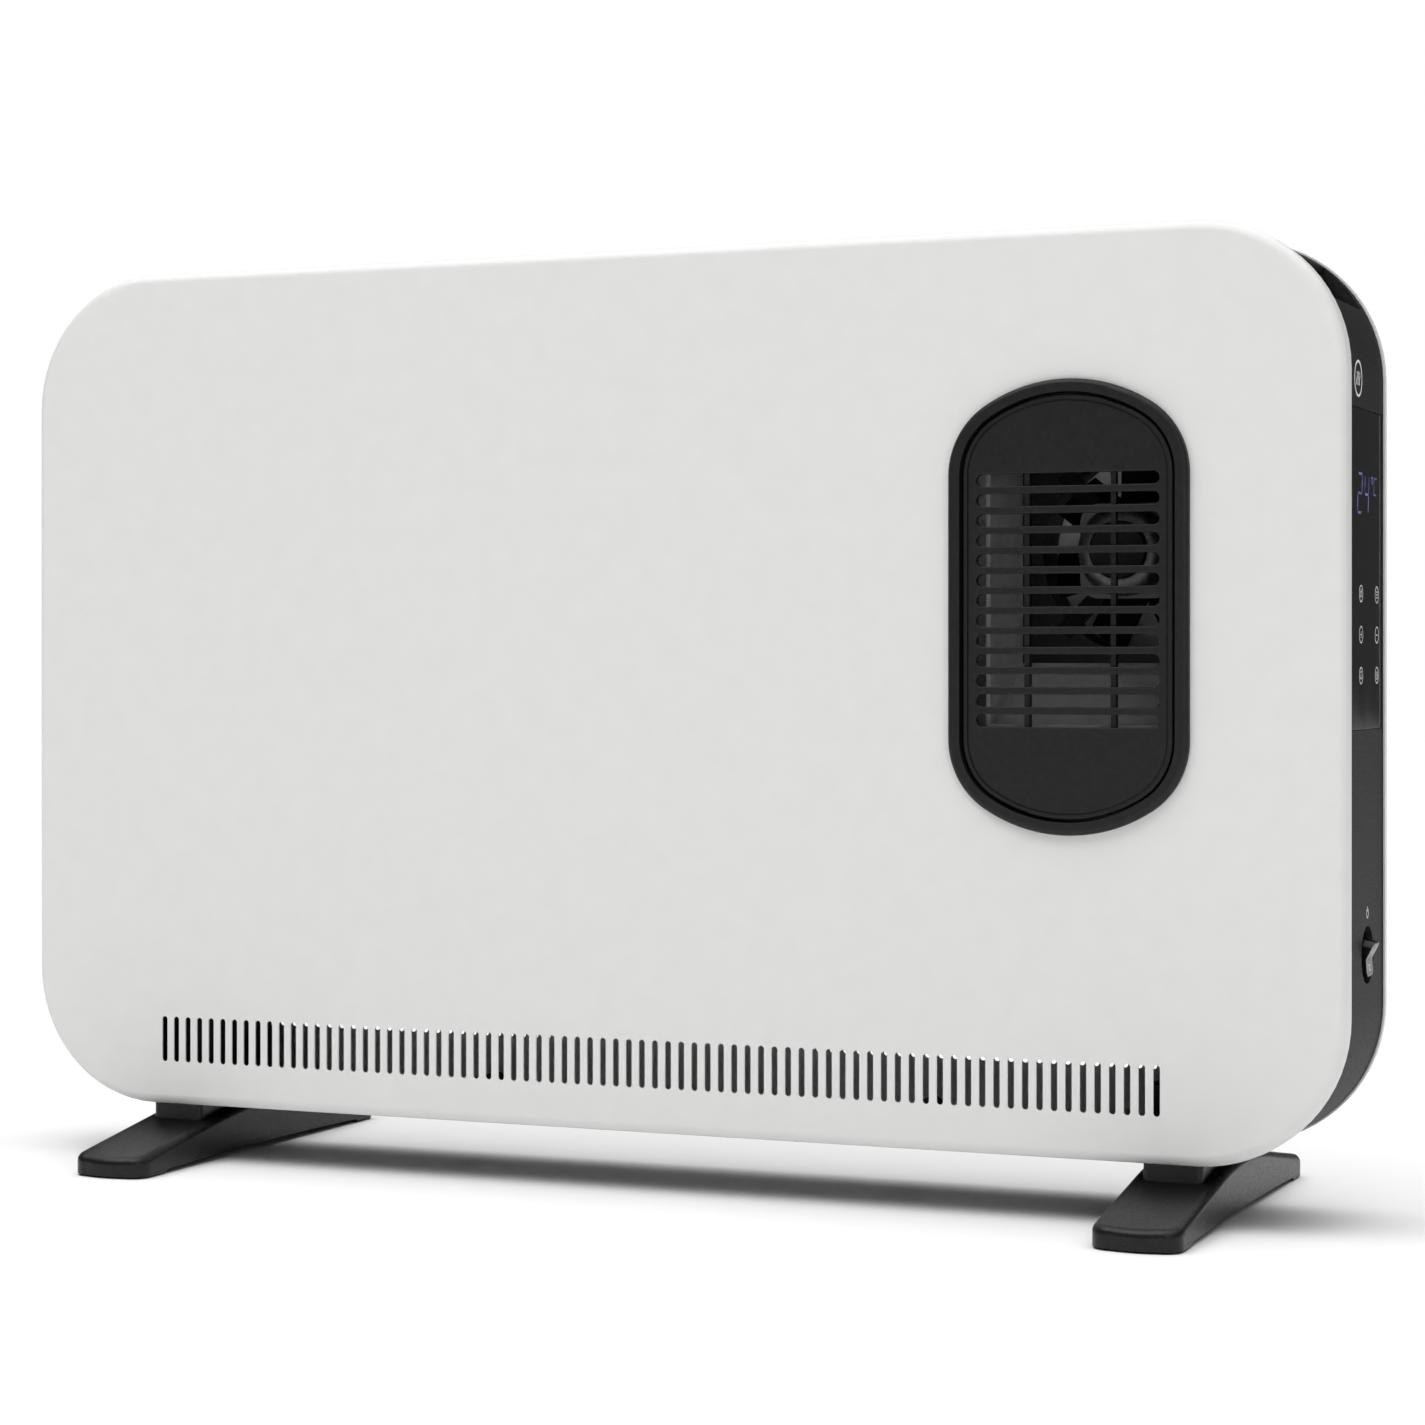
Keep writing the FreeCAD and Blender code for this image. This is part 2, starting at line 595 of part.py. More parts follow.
def pad(x, y, z0, z1):
    """Oval block for a pad or its recess."""
    corner = V(x - PAD_LONG / 2, y - PAD_WIDE / 2, z0)
    block = Part.makeBox(PAD_LONG, PAD_WIDE, z1 - z0, corner)
    upright = [e for e in block.Edges if e.BoundBox.ZLength > 0.5]
    return block.makeFillet(5.0, upright)


def foot_pads():
    """Rubber pads that stand on the floor."""
    pads = [pad(side * FOOT_X, y, 0, PAD_TOP) for side in SIDES for y in pad_places()]
    return Part.makeCompound(pads)


def foot_screws():
    """Screws that hold the feet to the end frames."""
    screws = []
    seat = FOOT_SCREW_SEAT
    for side in SIDES:
        for y in FOOT_SCREW_PLACES:
            x = side * FOOT_X
            head = rod_z(x, y, seat - 2.6, seat, 4.0)
            shank = rod_z(x, y, seat - 0.1, up(COLLAR_INSET) + 10, SCREW_RADIUS)
            socket = rod_z(x, y, seat - 3, seat - 1.2, 1.5)
            screws.append(head.fuse(shank).cut(socket))
    return Part.makeCompound(screws)


def fan_bezel():
    """Moulded ring round the outlet, with a skirt through the panel."""
    rim = outlet_block(0, -BEZEL_PROUD, 0)
    rim = rim.makeFillet(2.6, edges_at_depth(rim, -BEZEL_PROUD))
    skirt = outlet_block(BEZEL_RIM - 1.7, -1, 8)
    opening = outlet_block(BEZEL_RIM, -BEZEL_PROUD - 1, 9)
    ledge = outlet_block(BEZEL_RIM - 1, 4, 6).cut(outlet_block(BEZEL_RIM + 3.5, 3, 7))
    return rim.fuse(skirt).cut(opening).fuse(ledge)


def slot_edges(plate, depth):
    """Front edges of the grille's slots, which are short enough to tell from the rim's."""
    field = edges_at_depth(plate, depth)
    return [e for e in field if abs(e.BoundBox.XLength) < GRILLE_SLOT_LENGTH
            and e.BoundBox.ZLength < GRILLE_SLOT_WIDTH + 0.1]


def fan_grille():
    """Slotted plate in the bezel, with a ring step, a fine groove and two back ribs."""
    d0 = -GRILLE_PROUD
    plate = outlet_block(BEZEL_RIM + 1.3, d0, 1.4)
    plate = plate.makeFillet(0.8, edges_at_depth(plate, d0))
    groove = outlet_block(BEZEL_RIM + 3.4, d0 - 1, d0 + 0.9)
    groove = groove.cut(outlet_block(BEZEL_RIM + 4.2, d0 - 2, d0 + 2))
    field = outlet_block(BEZEL_RIM + 4.2, d0 - 1, d0 + 0.4)
    plate = plate.cut(groove).cut(field)
    skirt = outlet_block(BEZEL_RIM + 1.3, 1.4, 4).cut(outlet_block(BEZEL_RIM + 3.4, 1, 5))
    plate = plate.fuse(skirt)
    cutters = []
    for k in range(GRILLE_SLOT_COUNT):
        offset = (k - (GRILLE_SLOT_COUNT - 1) / 2) * GRILLE_SLOT_PITCH
        height = OUTLET_Z + GRILLE_SLOTS_RAISED + offset
        cutters.append(
            slot_level(OUTLET_X, height, GRILLE_SLOT_LENGTH, GRILLE_SLOT_WIDTH, d0 - 1, 3)
        )
    plate = plate.cut(Part.makeCompound(cutters))
    plate = plate.makeFillet(SLOT_EDGE_RADIUS, slot_edges(plate, d0 + 0.4))
    reach = GRILLE_SLOT_PITCH * GRILLE_SLOT_COUNT / 2 + 3
    middle = OUTLET_Z + GRILLE_SLOTS_RAISED
    for x in GRILLE_RIBS:
        plate = plate.fuse(box(x - 1.2, x + 1.2, 0.6, 4.4, middle - reach, middle + reach))
    return plate


def fan_duct():
    """Open box that leads the air from the fan to the outlet, with a sloping floor."""
    outer = box(DUCT_LEFT, DUCT_RIGHT, DUCT_FRONT, DUCT_BACK, DUCT_LOW, DUCT_HIGH)
    inner = box(
        DUCT_LEFT + DUCT_WALL, DUCT_RIGHT - DUCT_WALL, DUCT_FRONT - 1, DUCT_BACK + 1,
        DUCT_LOW + DUCT_WALL, DUCT_HIGH - DUCT_WALL,
    )
    x = DUCT_LEFT + DUCT_WALL
    low, high = up(DUCT_LOW + DUCT_WALL), up(FAN_Z - FAN_RADIUS - 6)
    corners = [V(x, at(DUCT_FRONT + 8), low), V(x, at(DUCT_BACK), low), V(x, at(DUCT_BACK), high)]
    edges = [Part.LineSegment(a, b) for a, b in zip(corners, corners[1:] + corners[:1])]
    ramp = prism(edges, V(DUCT_RIGHT - DUCT_LEFT - 2 * DUCT_WALL, 0, 0))
    return outer.cut(inner).fuse(ramp)


def fan_shroud():
    """Plate with the round inlet that the impeller turns in."""
    plate = box(DUCT_LEFT, DUCT_RIGHT, DUCT_BACK, DUCT_BACK + 2, DUCT_LOW, DUCT_HIGH)
    collar = rod_y(FAN_X, DUCT_BACK, DUCT_BACK + 24, FAN_Z, FAN_RADIUS + 4)
    hole = rod_y(FAN_X, DUCT_BACK - 1, DUCT_BACK + 25, FAN_Z, FAN_RADIUS + 2)
    return plate.fuse(collar).cut(hole)


def motor_bracket():
    """Pressed spider that holds the motor in front of the inlet."""
    d0, d1 = DUCT_BACK - 2.0, DUCT_BACK
    ring = rod_y(FAN_X, d0, d1, FAN_Z, 14)
    arms = []
    for angle in (45, 135, 225, 315):
        arm = box(FAN_X - 4, FAN_X + 4, d0, d1, FAN_Z, FAN_Z + FAN_RADIUS + 7)
        arm.rotate(V(FAN_X, 0, up(FAN_Z)), Y_AXIS, angle)
        arms.append(arm)
    hub_hole = rod_y(FAN_X, d0 - 1, d1 + 1, FAN_Z, BUSH_RADIUS)
    return ring.fuse(arms).cut(hub_hole)


def motor_stator():
    """Laminated stack with a round bore for the rotor."""
    stack = rounded_block(
        FAN_X - MOTOR_HALF, FAN_X + MOTOR_HALF, STATOR_FRONT, STATOR_BACK,
        FAN_Z - MOTOR_HALF, FAN_Z + MOTOR_HALF, 9.0,
    )
    bore = rod_y(FAN_X, STATOR_FRONT - 1, STATOR_BACK + 1, FAN_Z, ROTOR_RADIUS + 0.4)
    window = box(
        FAN_X - 11, FAN_X + 11, STATOR_FRONT - 1, STATOR_BACK + 1,
        FAN_Z - 19, FAN_Z - ROTOR_RADIUS - 1,
    )
    return stack.cut(bore).cut(window)


def motor_coil():
    """Wound coil in the stator's window."""
    x0, x1 = FAN_X - 10.7, FAN_X + 10.7
    d0, d1 = STATOR_FRONT - 5, STATOR_BACK + 5
    h0, h1 = FAN_Z - 18.7, FAN_Z - ROTOR_RADIUS - 1.3
    coil = box(x0, x1, d0, d1, h0, h1)
    return coil.makeFillet(1.2, [e for e in coil.Edges if e.BoundBox.YLength > 1])


def motor_cap():
    """Domed end bell in front of the stator, with the front bearing's seat."""
    cap = rod_y(FAN_X, CAP_FRONT, STATOR_FRONT, FAN_Z, CAP_RADIUS)
    cap = cap.makeFillet(8.0, edges_at_depth(cap, CAP_FRONT))
    hollow = rod_y(FAN_X, CAP_FRONT + 2, STATOR_FRONT + 1, FAN_Z, CAP_RADIUS - 5)
    seat = rod_y(FAN_X, CAP_FRONT - 1, CAP_FRONT + 4, FAN_Z, BUSH_RADIUS)
    coil_room = box(
        FAN_X - 12, FAN_X + 12, STATOR_FRONT - 6, STATOR_FRONT + 1, FAN_Z - 22, FAN_Z - 12
    )
    return cap.cut(hollow).cut(seat).cut(coil_room)


def bearing_cover():
    """Plastic cover that keeps dust off the front bearing."""
    d0 = CAP_FRONT - 4
    cover = rod_y(FAN_X, d0, CAP_FRONT, FAN_Z, COVER_RADIUS)
    cover = cover.makeFillet(1.5, edges_at_depth(cover, d0))
    return cover.cut(rod_y(FAN_X, d0 + 2, CAP_FRONT + 1, FAN_Z, BUSH_RADIUS + 2))


def bearing_bushes():
    """Two sintered bushes that the fan shaft turns in."""
    bushes = []
    for d0, d1 in ((CAP_FRONT - 0.5, CAP_FRONT + 4.5), (DUCT_BACK - 2.5, DUCT_BACK + 1.5)):
        bush = rod_y(FAN_X, d0, d1, FAN_Z, BUSH_RADIUS)
        bushes.append(bush.cut(rod_y(FAN_X, d0 - 1, d1 + 1, FAN_Z, SHAFT_RADIUS + 0.04)))
    return Part.makeCompound(bushes)


def fan_rotor():
    """Rotor drum on its steel shaft."""
    drum = rod_y(FAN_X, STATOR_FRONT, STATOR_BACK, FAN_Z, ROTOR_RADIUS)
    shaft = rod_y(FAN_X, CAP_FRONT - 1.0, IMPELLER_BACK + 3, FAN_Z, SHAFT_RADIUS)
    return drum.fuse(shaft)


def fan_impeller():
    """Axial impeller: a hub and pitched blades, bored for the shaft."""
    hub = rod_y(FAN_X, IMPELLER_FRONT, IMPELLER_BACK, FAN_Z, 14.0)
    hub = hub.makeFillet(2.0, edges_at_depth(hub, IMPELLER_BACK))
    middle = (IMPELLER_FRONT + IMPELLER_BACK) / 2
    blades = []
    for k in range(FAN_BLADES):
        blade = box(
            FAN_X - 13, FAN_X + 13, middle - 0.8, middle + 0.8, FAN_Z + 12, FAN_Z + FAN_RADIUS
        )
        blade.rotate(V(FAN_X, at(middle), up(FAN_Z)), Z_AXIS, 32)
        blade.rotate(V(FAN_X, at(middle), up(FAN_Z)), Y_AXIS, 360 * k / FAN_BLADES)
        blades.append(blade)
    sweep = rod_y(FAN_X, IMPELLER_FRONT, IMPELLER_BACK, FAN_Z, FAN_RADIUS)
    wheel = hub.fuse([blade.common(sweep) for blade in blades])
    bore = rod_y(FAN_X, IMPELLER_FRONT - 1, IMPELLER_BACK + 1, FAN_Z, SHAFT_RADIUS)
    return wheel.cut(bore)


def element_body(height):
    """Finned aluminium body of one heating element."""
    sleeve = rod_x(ELEMENT_LEFT + 6, ELEMENT_RIGHT - 6, ELEMENT_DEPTH, height, ROD_RADIUS + 1.8)
    count = int((ELEMENT_RIGHT - ELEMENT_LEFT - 30) // FIN_PITCH)
    start = (ELEMENT_LEFT + ELEMENT_RIGHT) / 2 - FIN_PITCH * (count - 1) / 2
    fins = []
    for k in range(count):
        x = start + k * FIN_PITCH
        fins.append(
            box(
                x - FIN_THICKNESS / 2, x + FIN_THICKNESS / 2,
                ELEMENT_DEPTH - FIN_DEEP / 2, ELEMENT_DEPTH + FIN_DEEP / 2,
                height - FIN_TALL / 2, height + FIN_TALL / 2,
            )
        )
    bore = rod_x(ELEMENT_LEFT, ELEMENT_RIGHT, ELEMENT_DEPTH, height, ROD_RADIUS + 0.02)
    return sleeve.fuse(fins).cut(bore)


def element_rods():
    """Sheathed heating rods with a terminal pin at each end."""
    rods = []
    for height in ELEMENT_HEIGHTS:
        x0, x1 = ELEMENT_LEFT - 3, ELEMENT_RIGHT + 3
        rod = rod_x(x0, x1, ELEMENT_DEPTH, height, ROD_RADIUS)
        pin = rod_x(x0 - 8, x1 + 8, ELEMENT_DEPTH, height, 1.5)
        rods.append(rod.fuse(pin))
    return Part.makeCompound(rods)


def ceramic_bushes():
    """Insulating bushes round the rod ends in the brackets."""
    bushes = []
    for height in ELEMENT_HEIGHTS:
        for x in (ELEMENT_LEFT, ELEMENT_RIGHT - 4):
            bush = rod_x(x, x + 4, ELEMENT_DEPTH, height, 7.0)
            hole = rod_x(x - 1, x + 5, ELEMENT_DEPTH, height, ROD_RADIUS + 0.02)
            bushes.append(bush.cut(hole))
    return Part.makeCompound(bushes)


def element_bracket(x):
    """Steel plate across the case that carries the ends of both elements."""
    low, high = ELEMENT_HEIGHTS[0] - 28, ELEMENT_HEIGHTS[1] + 28
    plate = box(x - 0.6, x + 0.6, SHEET + 1, SHIELD_DEPTH, low, high)
    foot_plate = box(x - 0.6, x + 12, SHIELD_DEPTH - 1.2, SHIELD_DEPTH, low, high)
    plate = plate.fuse(foot_plate)
    for height in ELEMENT_HEIGHTS:
        plate = plate.cut(rod_x(x - 2, x + 2, ELEMENT_DEPTH, height, 7.0))
    return plate


def heat_shield():
    """Bright sheet between the elements and the back of the case."""
    x0, x1 = ELEMENT_LEFT - 6, ELEMENT_RIGHT + 14
    low, high = ELEMENT_HEIGHTS[0] - 30, DUCT_LOW - 6
    shield = box(x0, x1, SHIELD_DEPTH, SHIELD_DEPTH + 0.8, low, high)
    rise = box(x0, DUCT_LEFT - 8, SHIELD_DEPTH, SHIELD_DEPTH + 0.8, high - 1, PANEL_HEIGHT - 60)
    return shield.fuse(rise)


def partition():
    """Wall between the warm chamber and the control compartment."""
    return box(PARTITION_X, PARTITION_X + 0.8, 3, BODY_DEPTH - 4, 52, 362)


def touch_panel_lens():
    """Gloss cover of the touch panel, flush in the end frame."""
    x0 = BAND_X - 2.3
    lens = box(x0, x0 + 2.0, TOUCH_FRONT, TOUCH_BACK, TOUCH_LOW, TOUCH_HIGH)
    upright = [e for e in lens.Edges if e.BoundBox.XLength > 1]
    lens = lens.makeFillet(1.0, upright)
    outer = [e for e in lens.Edges if e.BoundBox.XMin > x0 + 1.9]
    return lens.makeFillet(0.35, outer)


def board_corners():
    """Depth and height of the touch board's four fixings."""
    depths, heights = (TOUCH_FRONT + 1.5, TOUCH_BACK - 2), (TOUCH_LOW + 3, TOUCH_HIGH - 3)
    return [(depth, height) for depth in depths for height in heights]


def touch_board():
    """Circuit board behind the touch panel."""
    board = box(
        TOUCH_BOARD_X, TOUCH_BOARD_X + BOARD_THICKNESS,
        TOUCH_FRONT - 2.5, TOUCH_BACK + 2, TOUCH_LOW - 1, TOUCH_HIGH + 1,
    )
    for depth, height in board_corners():
        board = board.cut(rod_x(TOUCH_BOARD_X - 1, TOUCH_BOARD_X + 3, depth, height, 1.3))
    return board


def touch_springs():
    """Coil-shaped contacts between the board and the touch keys, as short sleeves."""
    springs = []
    x0, x1 = TOUCH_BOARD_X + BOARD_THICKNESS, BAND_X - 2.4
    for depth in KEY_DEPTHS:
        for height in KEY_HEIGHTS:
            sleeve = rod_x(x0, x1, depth, height, 3.0)
            springs.append(sleeve.cut(rod_x(x0 - 1, x1 + 1, depth, height, 2.3)))
    return Part.makeCompound(springs)


def display_module():
    """Digit display on the touch board, close behind the lens."""
    x0, x1 = TOUCH_BOARD_X + BOARD_THICKNESS, BAND_X - 2.5
    body = box(x0, x1, DISPLAY_FRONT, DISPLAY_BACK, DISPLAY_LOW, DISPLAY_HIGH)
    outer = [e for e in body.Edges if e.BoundBox.XMin > x1 - 0.1]
    return body.makeFillet(0.8, outer)


def switch_housing():
    """Round rocker switch body with a flange that sits in the recess."""
    body = rod_x(SWITCH_REAR_X, SWITCH_FLOOR_X, SWITCH_DEPTH, SWITCH_HEIGHT, SWITCH_BODY)
    face_x = SWITCH_FLOOR_X + 1.8
    flange = rod_x(SWITCH_FLOOR_X, face_x, SWITCH_DEPTH, SWITCH_HEIGHT, SWITCH_RECESS - 0.3)
    rim = [e for e in flange.Edges if e.BoundBox.XMin > face_x - 0.1]
    flange = flange.makeFillet(0.6, rim)
    cavity = rod_x(
        SWITCH_REAR_X + 6, face_x + 1, SWITCH_DEPTH, SWITCH_HEIGHT, SWITCH_BODY - 0.8
    )
    pin_hole = rod_y(
        ROCKER_PIVOT_X, SWITCH_DEPTH - SWITCH_BODY + 0.1, SWITCH_DEPTH + SWITCH_BODY - 0.1,
        SWITCH_HEIGHT, 1.55,
    )
    return body.fuse(flange).cut(cavity).cut(pin_hole)


def switch_rocker():
    """Rocker with a hollow face, resting with its upper half standing out."""
    x, z, end, middle, half = ROCKER_PIVOT_X, up(SWITCH_HEIGHT), 10.1, 7.8, 8.2
    y = at(SWITCH_DEPTH) - 7
    face_bend = V(x + middle, y, z)
    upper, lower = V(x + end, y, z + half), V(x + end, y, z - half)
    shoulder_up, shoulder_low = V(x - 1, y, z + half - 0.3), V(x - 1, y, z - half + 0.3)
    tail_up, tail_low = V(x - 5, y, z + 2.2), V(x - 5, y, z - 2.2)
    corners = [face_bend, upper, shoulder_up, tail_up, tail_low, shoulder_low, lower]
    edges = [Part.LineSegment(a, b) for a, b in zip(corners, corners[1:] + corners[:1])]
    rocker = prism(edges, V(0, 14, 0))
    tips = [e for e in rocker.Edges if e.BoundBox.XMin > x + end - 0.1]
    rocker = rocker.makeFillet(0.9, tips)
    rocker = rocker.common(rod_x(x - 8, x + 14, SWITCH_DEPTH, SWITCH_HEIGHT, ROCKER_RADIUS))
    trunnion = rod_y(
        x, SWITCH_DEPTH - SWITCH_BODY + 0.4, SWITCH_DEPTH + SWITCH_BODY - 0.4, SWITCH_HEIGHT, 1.5
    )
    rocker = rocker.fuse(trunnion)
    rocker.rotate(V(x, 0, z), Y_AXIS, ROCKER_TILT)
    return rocker


def switch_terminals():
    """Blade terminals on the back of the switch."""
    blades = []
    for depth in (-5.5, 5.5):
        for height in (-5.0, 5.0):
            blades.append(
                box(
                    SWITCH_REAR_X - 10, SWITCH_REAR_X,
                    SWITCH_DEPTH + depth - 0.4, SWITCH_DEPTH + depth + 0.4,
                    SWITCH_HEIGHT + height - 3.1, SWITCH_HEIGHT + height + 3.1,
                )
            )
    return Part.makeCompound(blades)


def power_board():
    """Circuit board that switches the elements, on the partition."""
    x1 = POWER_X + BOARD_THICKNESS
    return box(POWER_X, x1, POWER_FRONT, POWER_BACK, POWER_LOW, POWER_HIGH)


def board_standoffs():
    """Posts between the partition and the power board."""
    x0, x1 = PARTITION_X + 0.8, POWER_X
    depths, heights = (POWER_FRONT + 4, POWER_BACK - 4), (POWER_LOW + 4, POWER_HIGH - 4)
    return Part.makeCompound([rod_x(x0, x1, d, h, 3.0) for d in depths for h in heights])


def power_relays():
    """Sealed relays on the power board."""
    x0 = POWER_X + BOARD_THICKNESS
    relays = []
    for depth in (POWER_FRONT + 8, POWER_FRONT + 32):
        relay = box(x0, x0 + 15.5, depth, depth + 19, POWER_LOW + 8, POWER_LOW + 27)
        relays.append(relay.makeFillet(0.6, relay.Edges))
    return Part.makeCompound(relays)


def power_parts():
    """Tall parts on the power board: capacitors, supply and plug strip."""
    x0 = POWER_X + BOARD_THICKNESS
    front, low, high = POWER_FRONT, POWER_LOW, POWER_HIGH
    large_capacitor = rod_x(x0, x0 + 14, front + 10, high - 16, 5)
    small_capacitor = rod_x(x0, x0 + 11, front + 23, high - 14, 4)
    supply = box(x0, x0 + 16, front + 34, front + 52, high - 28, high - 6)
    plug_strip = box(x0, x0 + 9, front + 4, front + 60, low + 1, low + 6.5)
    return Part.makeCompound([large_capacitor, small_capacitor, supply, plug_strip])


def terminal_block():
    """Screw terminals where the mains lead would arrive."""
    x0, x1, d0, d1, h0, h1 = TERMINAL_BOX
    block = box(x0, x1, d0, d1, h0, h1)
    for k in range(3):
        x = x0 + 5 + TERMINAL_PITCH * k
        block = block.cut(rod_y(x, d0 - 1, d0 + 4, (h0 + h1) / 2, 2.2))
    return block


def cord_gland():
    """Bush through the rear panel for the mains lead, with its nut inside."""
    flange = rod_y(GLAND_X, BODY_DEPTH, BODY_DEPTH + 3, GLAND_HEIGHT, GLAND_NECK + 3)
    flange = flange.makeFillet(1.2, edges_at_depth(flange, BODY_DEPTH + 3))
    neck = rod_y(GLAND_X, BODY_DEPTH - 11, BODY_DEPTH + 1, GLAND_HEIGHT, GLAND_NECK)
    bore = rod_y(GLAND_X, BODY_DEPTH - 12, BODY_DEPTH + 4, GLAND_HEIGHT, GLAND_BORE)
    return flange.fuse(neck).cut(bore)


def gland_nut():
    """Ring nut that clamps the gland to the rear panel."""
    d0, d1 = BODY_DEPTH - SHEET - 4, BODY_DEPTH - SHEET
    nut = rod_y(GLAND_X, d0, d1, GLAND_HEIGHT, GLAND_NECK + 2.6)
    return nut.cut(rod_y(GLAND_X, d0 - 1, d1 + 1, GLAND_HEIGHT, GLAND_NECK + 0.03))


def tip_switch_housing():
    """Open-fronted box of the tip-over switch, with a pin across it."""
    x0, x1, d0, d1, h0, h1 = TIP_BOX
    shell = box(x0, x1, d0, d1, h0, h1)
    shell = shell.cut(box(x0 + 1.5, x1 - 1.5, d0 + 1.5, d1 - 1.5, h0 + 1.5, h1 + 1))
    pin = rod_x(x0 + 0.5, x1 - 0.5, TIP_DEPTH, TIP_PIVOT, 1.2)
    return shell.fuse(pin)


def tip_pendulum():
    """Weight that hangs on the pin and swings when the heater leans."""
    x0, x1 = TIP_BOX[0] + 3.5, TIP_BOX[1] - 3.5
    eye = rod_x(x0, x1, TIP_DEPTH, TIP_PIVOT, 3.0)
    arm = box(x0, x1, TIP_DEPTH - 1, TIP_DEPTH + 1, TIP_PIVOT - 14, TIP_PIVOT - 2)
    bob = rod_x(x0, x1, TIP_DEPTH, TIP_PIVOT - 15, 4.5)
    swing = eye.fuse([arm, bob])
    return swing.cut(rod_x(x0 - 1, x1 + 1, TIP_DEPTH, TIP_PIVOT, 1.26))


def thermal_cutout():
    """Disc thermostat with two blades, on the heat shield above the elements."""
    x, h, d1 = CUTOUT_X, CUTOUT_HEIGHT, SHIELD_DEPTH
    disc = rod_y(x, d1 - 8, d1, h, 8).fuse(rod_y(x, d1 - 11, d1 - 8, h, 6.5))
    blades = [
        box(place - 3, place + 3, d1 - 19, d1 - 11, h - 0.4, h + 0.4)
        for place in (x - 4.5, x + 4.5)
    ]
    return disc.fuse(blades)


def room_sensor():
    """Bead sensor in a clip on the lower rail, in the incoming air."""
    floor, y = FRAME_INSET + FRAME_WALL, at(SENSOR_DEPTH)
    clip = box(
        SENSOR_X - 6, SENSOR_X + 6, SENSOR_DEPTH - 4, SENSOR_DEPTH + 4, floor, floor + 3
    )
    stem = rod_z(SENSOR_X, y, up(floor + 3), up(floor + 12), 1.0)
    bead = Part.makeSphere(2.2, V(SENSOR_X, y, up(floor + 13)))
    return clip.fuse([stem, bead])


def build():
    return {
        "front_panel": front_panel(),
        "rear_panel": rear_panel(),
        "panel_screws": panel_screws(),
        "left_end_frame": end_frame(-1),
        "right_end_frame": right_end_frame(),
        "top_outlet_rail": rail(True),
        "bottom_intake_rail": rail(False),
        "left_grip_cup": grip_cup(-1),
        "right_grip_cup": grip_cup(1),
        "left_foot": foot(-1),
        "right_foot": foot(1),
        "foot_pads": foot_pads(),
        "foot_screws": foot_screws(),
        "fan_bezel": fan_bezel(),
        "fan_grille": fan_grille(),
        "fan_duct": fan_duct(),
        "fan_shroud": fan_shroud(),
        "motor_bracket": motor_bracket(),
        "motor_stator": motor_stator(),
        "motor_coil": motor_coil(),
        "motor_cap": motor_cap(),
        "bearing_cover": bearing_cover(),
        "bearing_bushes": bearing_bushes(),
        "fan_rotor": fan_rotor(),
        "fan_impeller": fan_impeller(),
        "element_lower": element_body(ELEMENT_HEIGHTS[0]),
        "element_upper": element_body(ELEMENT_HEIGHTS[1]),
        "element_rods": element_rods(),
        "ceramic_bushes": ceramic_bushes(),
        "element_bracket_left": element_bracket(ELEMENT_LEFT + 2),
        "element_bracket_right": element_bracket(ELEMENT_RIGHT - 2),
        "heat_shield": heat_shield(),
        "thermal_cutout": thermal_cutout(),
        "partition": partition(),
        "touch_panel_lens": touch_panel_lens(),
        "touch_board": touch_board(),
        "touch_springs": touch_springs(),
        "display_module": display_module(),
        "switch_housing": switch_housing(),
        "switch_rocker": switch_rocker(),
        "switch_terminals": switch_terminals(),
        "power_board": power_board(),
        "board_standoffs": board_standoffs(),
        "power_relays": power_relays(),
        "power_parts": power_parts(),
        "terminal_block": terminal_block(),
        "cord_gland": cord_gland(),
        "gland_nut": gland_nut(),
        "tip_switch_housing": tip_switch_housing(),
        "tip_pendulum": tip_pendulum(),
        "room_sensor": room_sensor(),
    }


os.makedirs("parts", exist_ok=True)
for node, shape in build().items():
    shape.exportStep(os.path.join("parts", node + ".step"))
    print(node, len(shape.Solids), round(shape.Volume / 1000, 2), "cm3", shape.isValid())
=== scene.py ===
import json
import math

import bmesh
import bpy
from mathutils import Matrix, Vector


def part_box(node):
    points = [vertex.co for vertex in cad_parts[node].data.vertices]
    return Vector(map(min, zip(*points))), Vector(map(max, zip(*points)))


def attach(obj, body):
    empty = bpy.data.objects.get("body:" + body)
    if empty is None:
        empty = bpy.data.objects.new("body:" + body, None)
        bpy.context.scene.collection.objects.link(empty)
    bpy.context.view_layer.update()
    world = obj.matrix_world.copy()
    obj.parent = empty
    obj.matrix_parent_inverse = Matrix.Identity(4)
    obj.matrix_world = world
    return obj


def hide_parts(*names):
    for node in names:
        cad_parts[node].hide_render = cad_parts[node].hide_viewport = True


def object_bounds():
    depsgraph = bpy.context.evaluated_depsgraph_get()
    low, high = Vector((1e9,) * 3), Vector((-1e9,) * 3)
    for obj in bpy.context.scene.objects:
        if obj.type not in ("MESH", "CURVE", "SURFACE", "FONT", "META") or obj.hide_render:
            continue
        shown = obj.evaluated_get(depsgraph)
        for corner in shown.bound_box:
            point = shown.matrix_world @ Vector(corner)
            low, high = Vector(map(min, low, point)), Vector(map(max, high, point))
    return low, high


# %% [markdown]
# # A fan convector heater
# The heater is a flat case on two feet. Two pressed steel trays, one in front and one
# behind, hold a moulded black band between them. The band carries the touch panel and the
# switch on its right end. The solids are already made, in millimetres, and load as a fixed
# frame, so this lesson is about finishes, printed marks, small wire parts and light.
# The frame is in metres: +X is the end with the controls, -Y the front, +Z up.

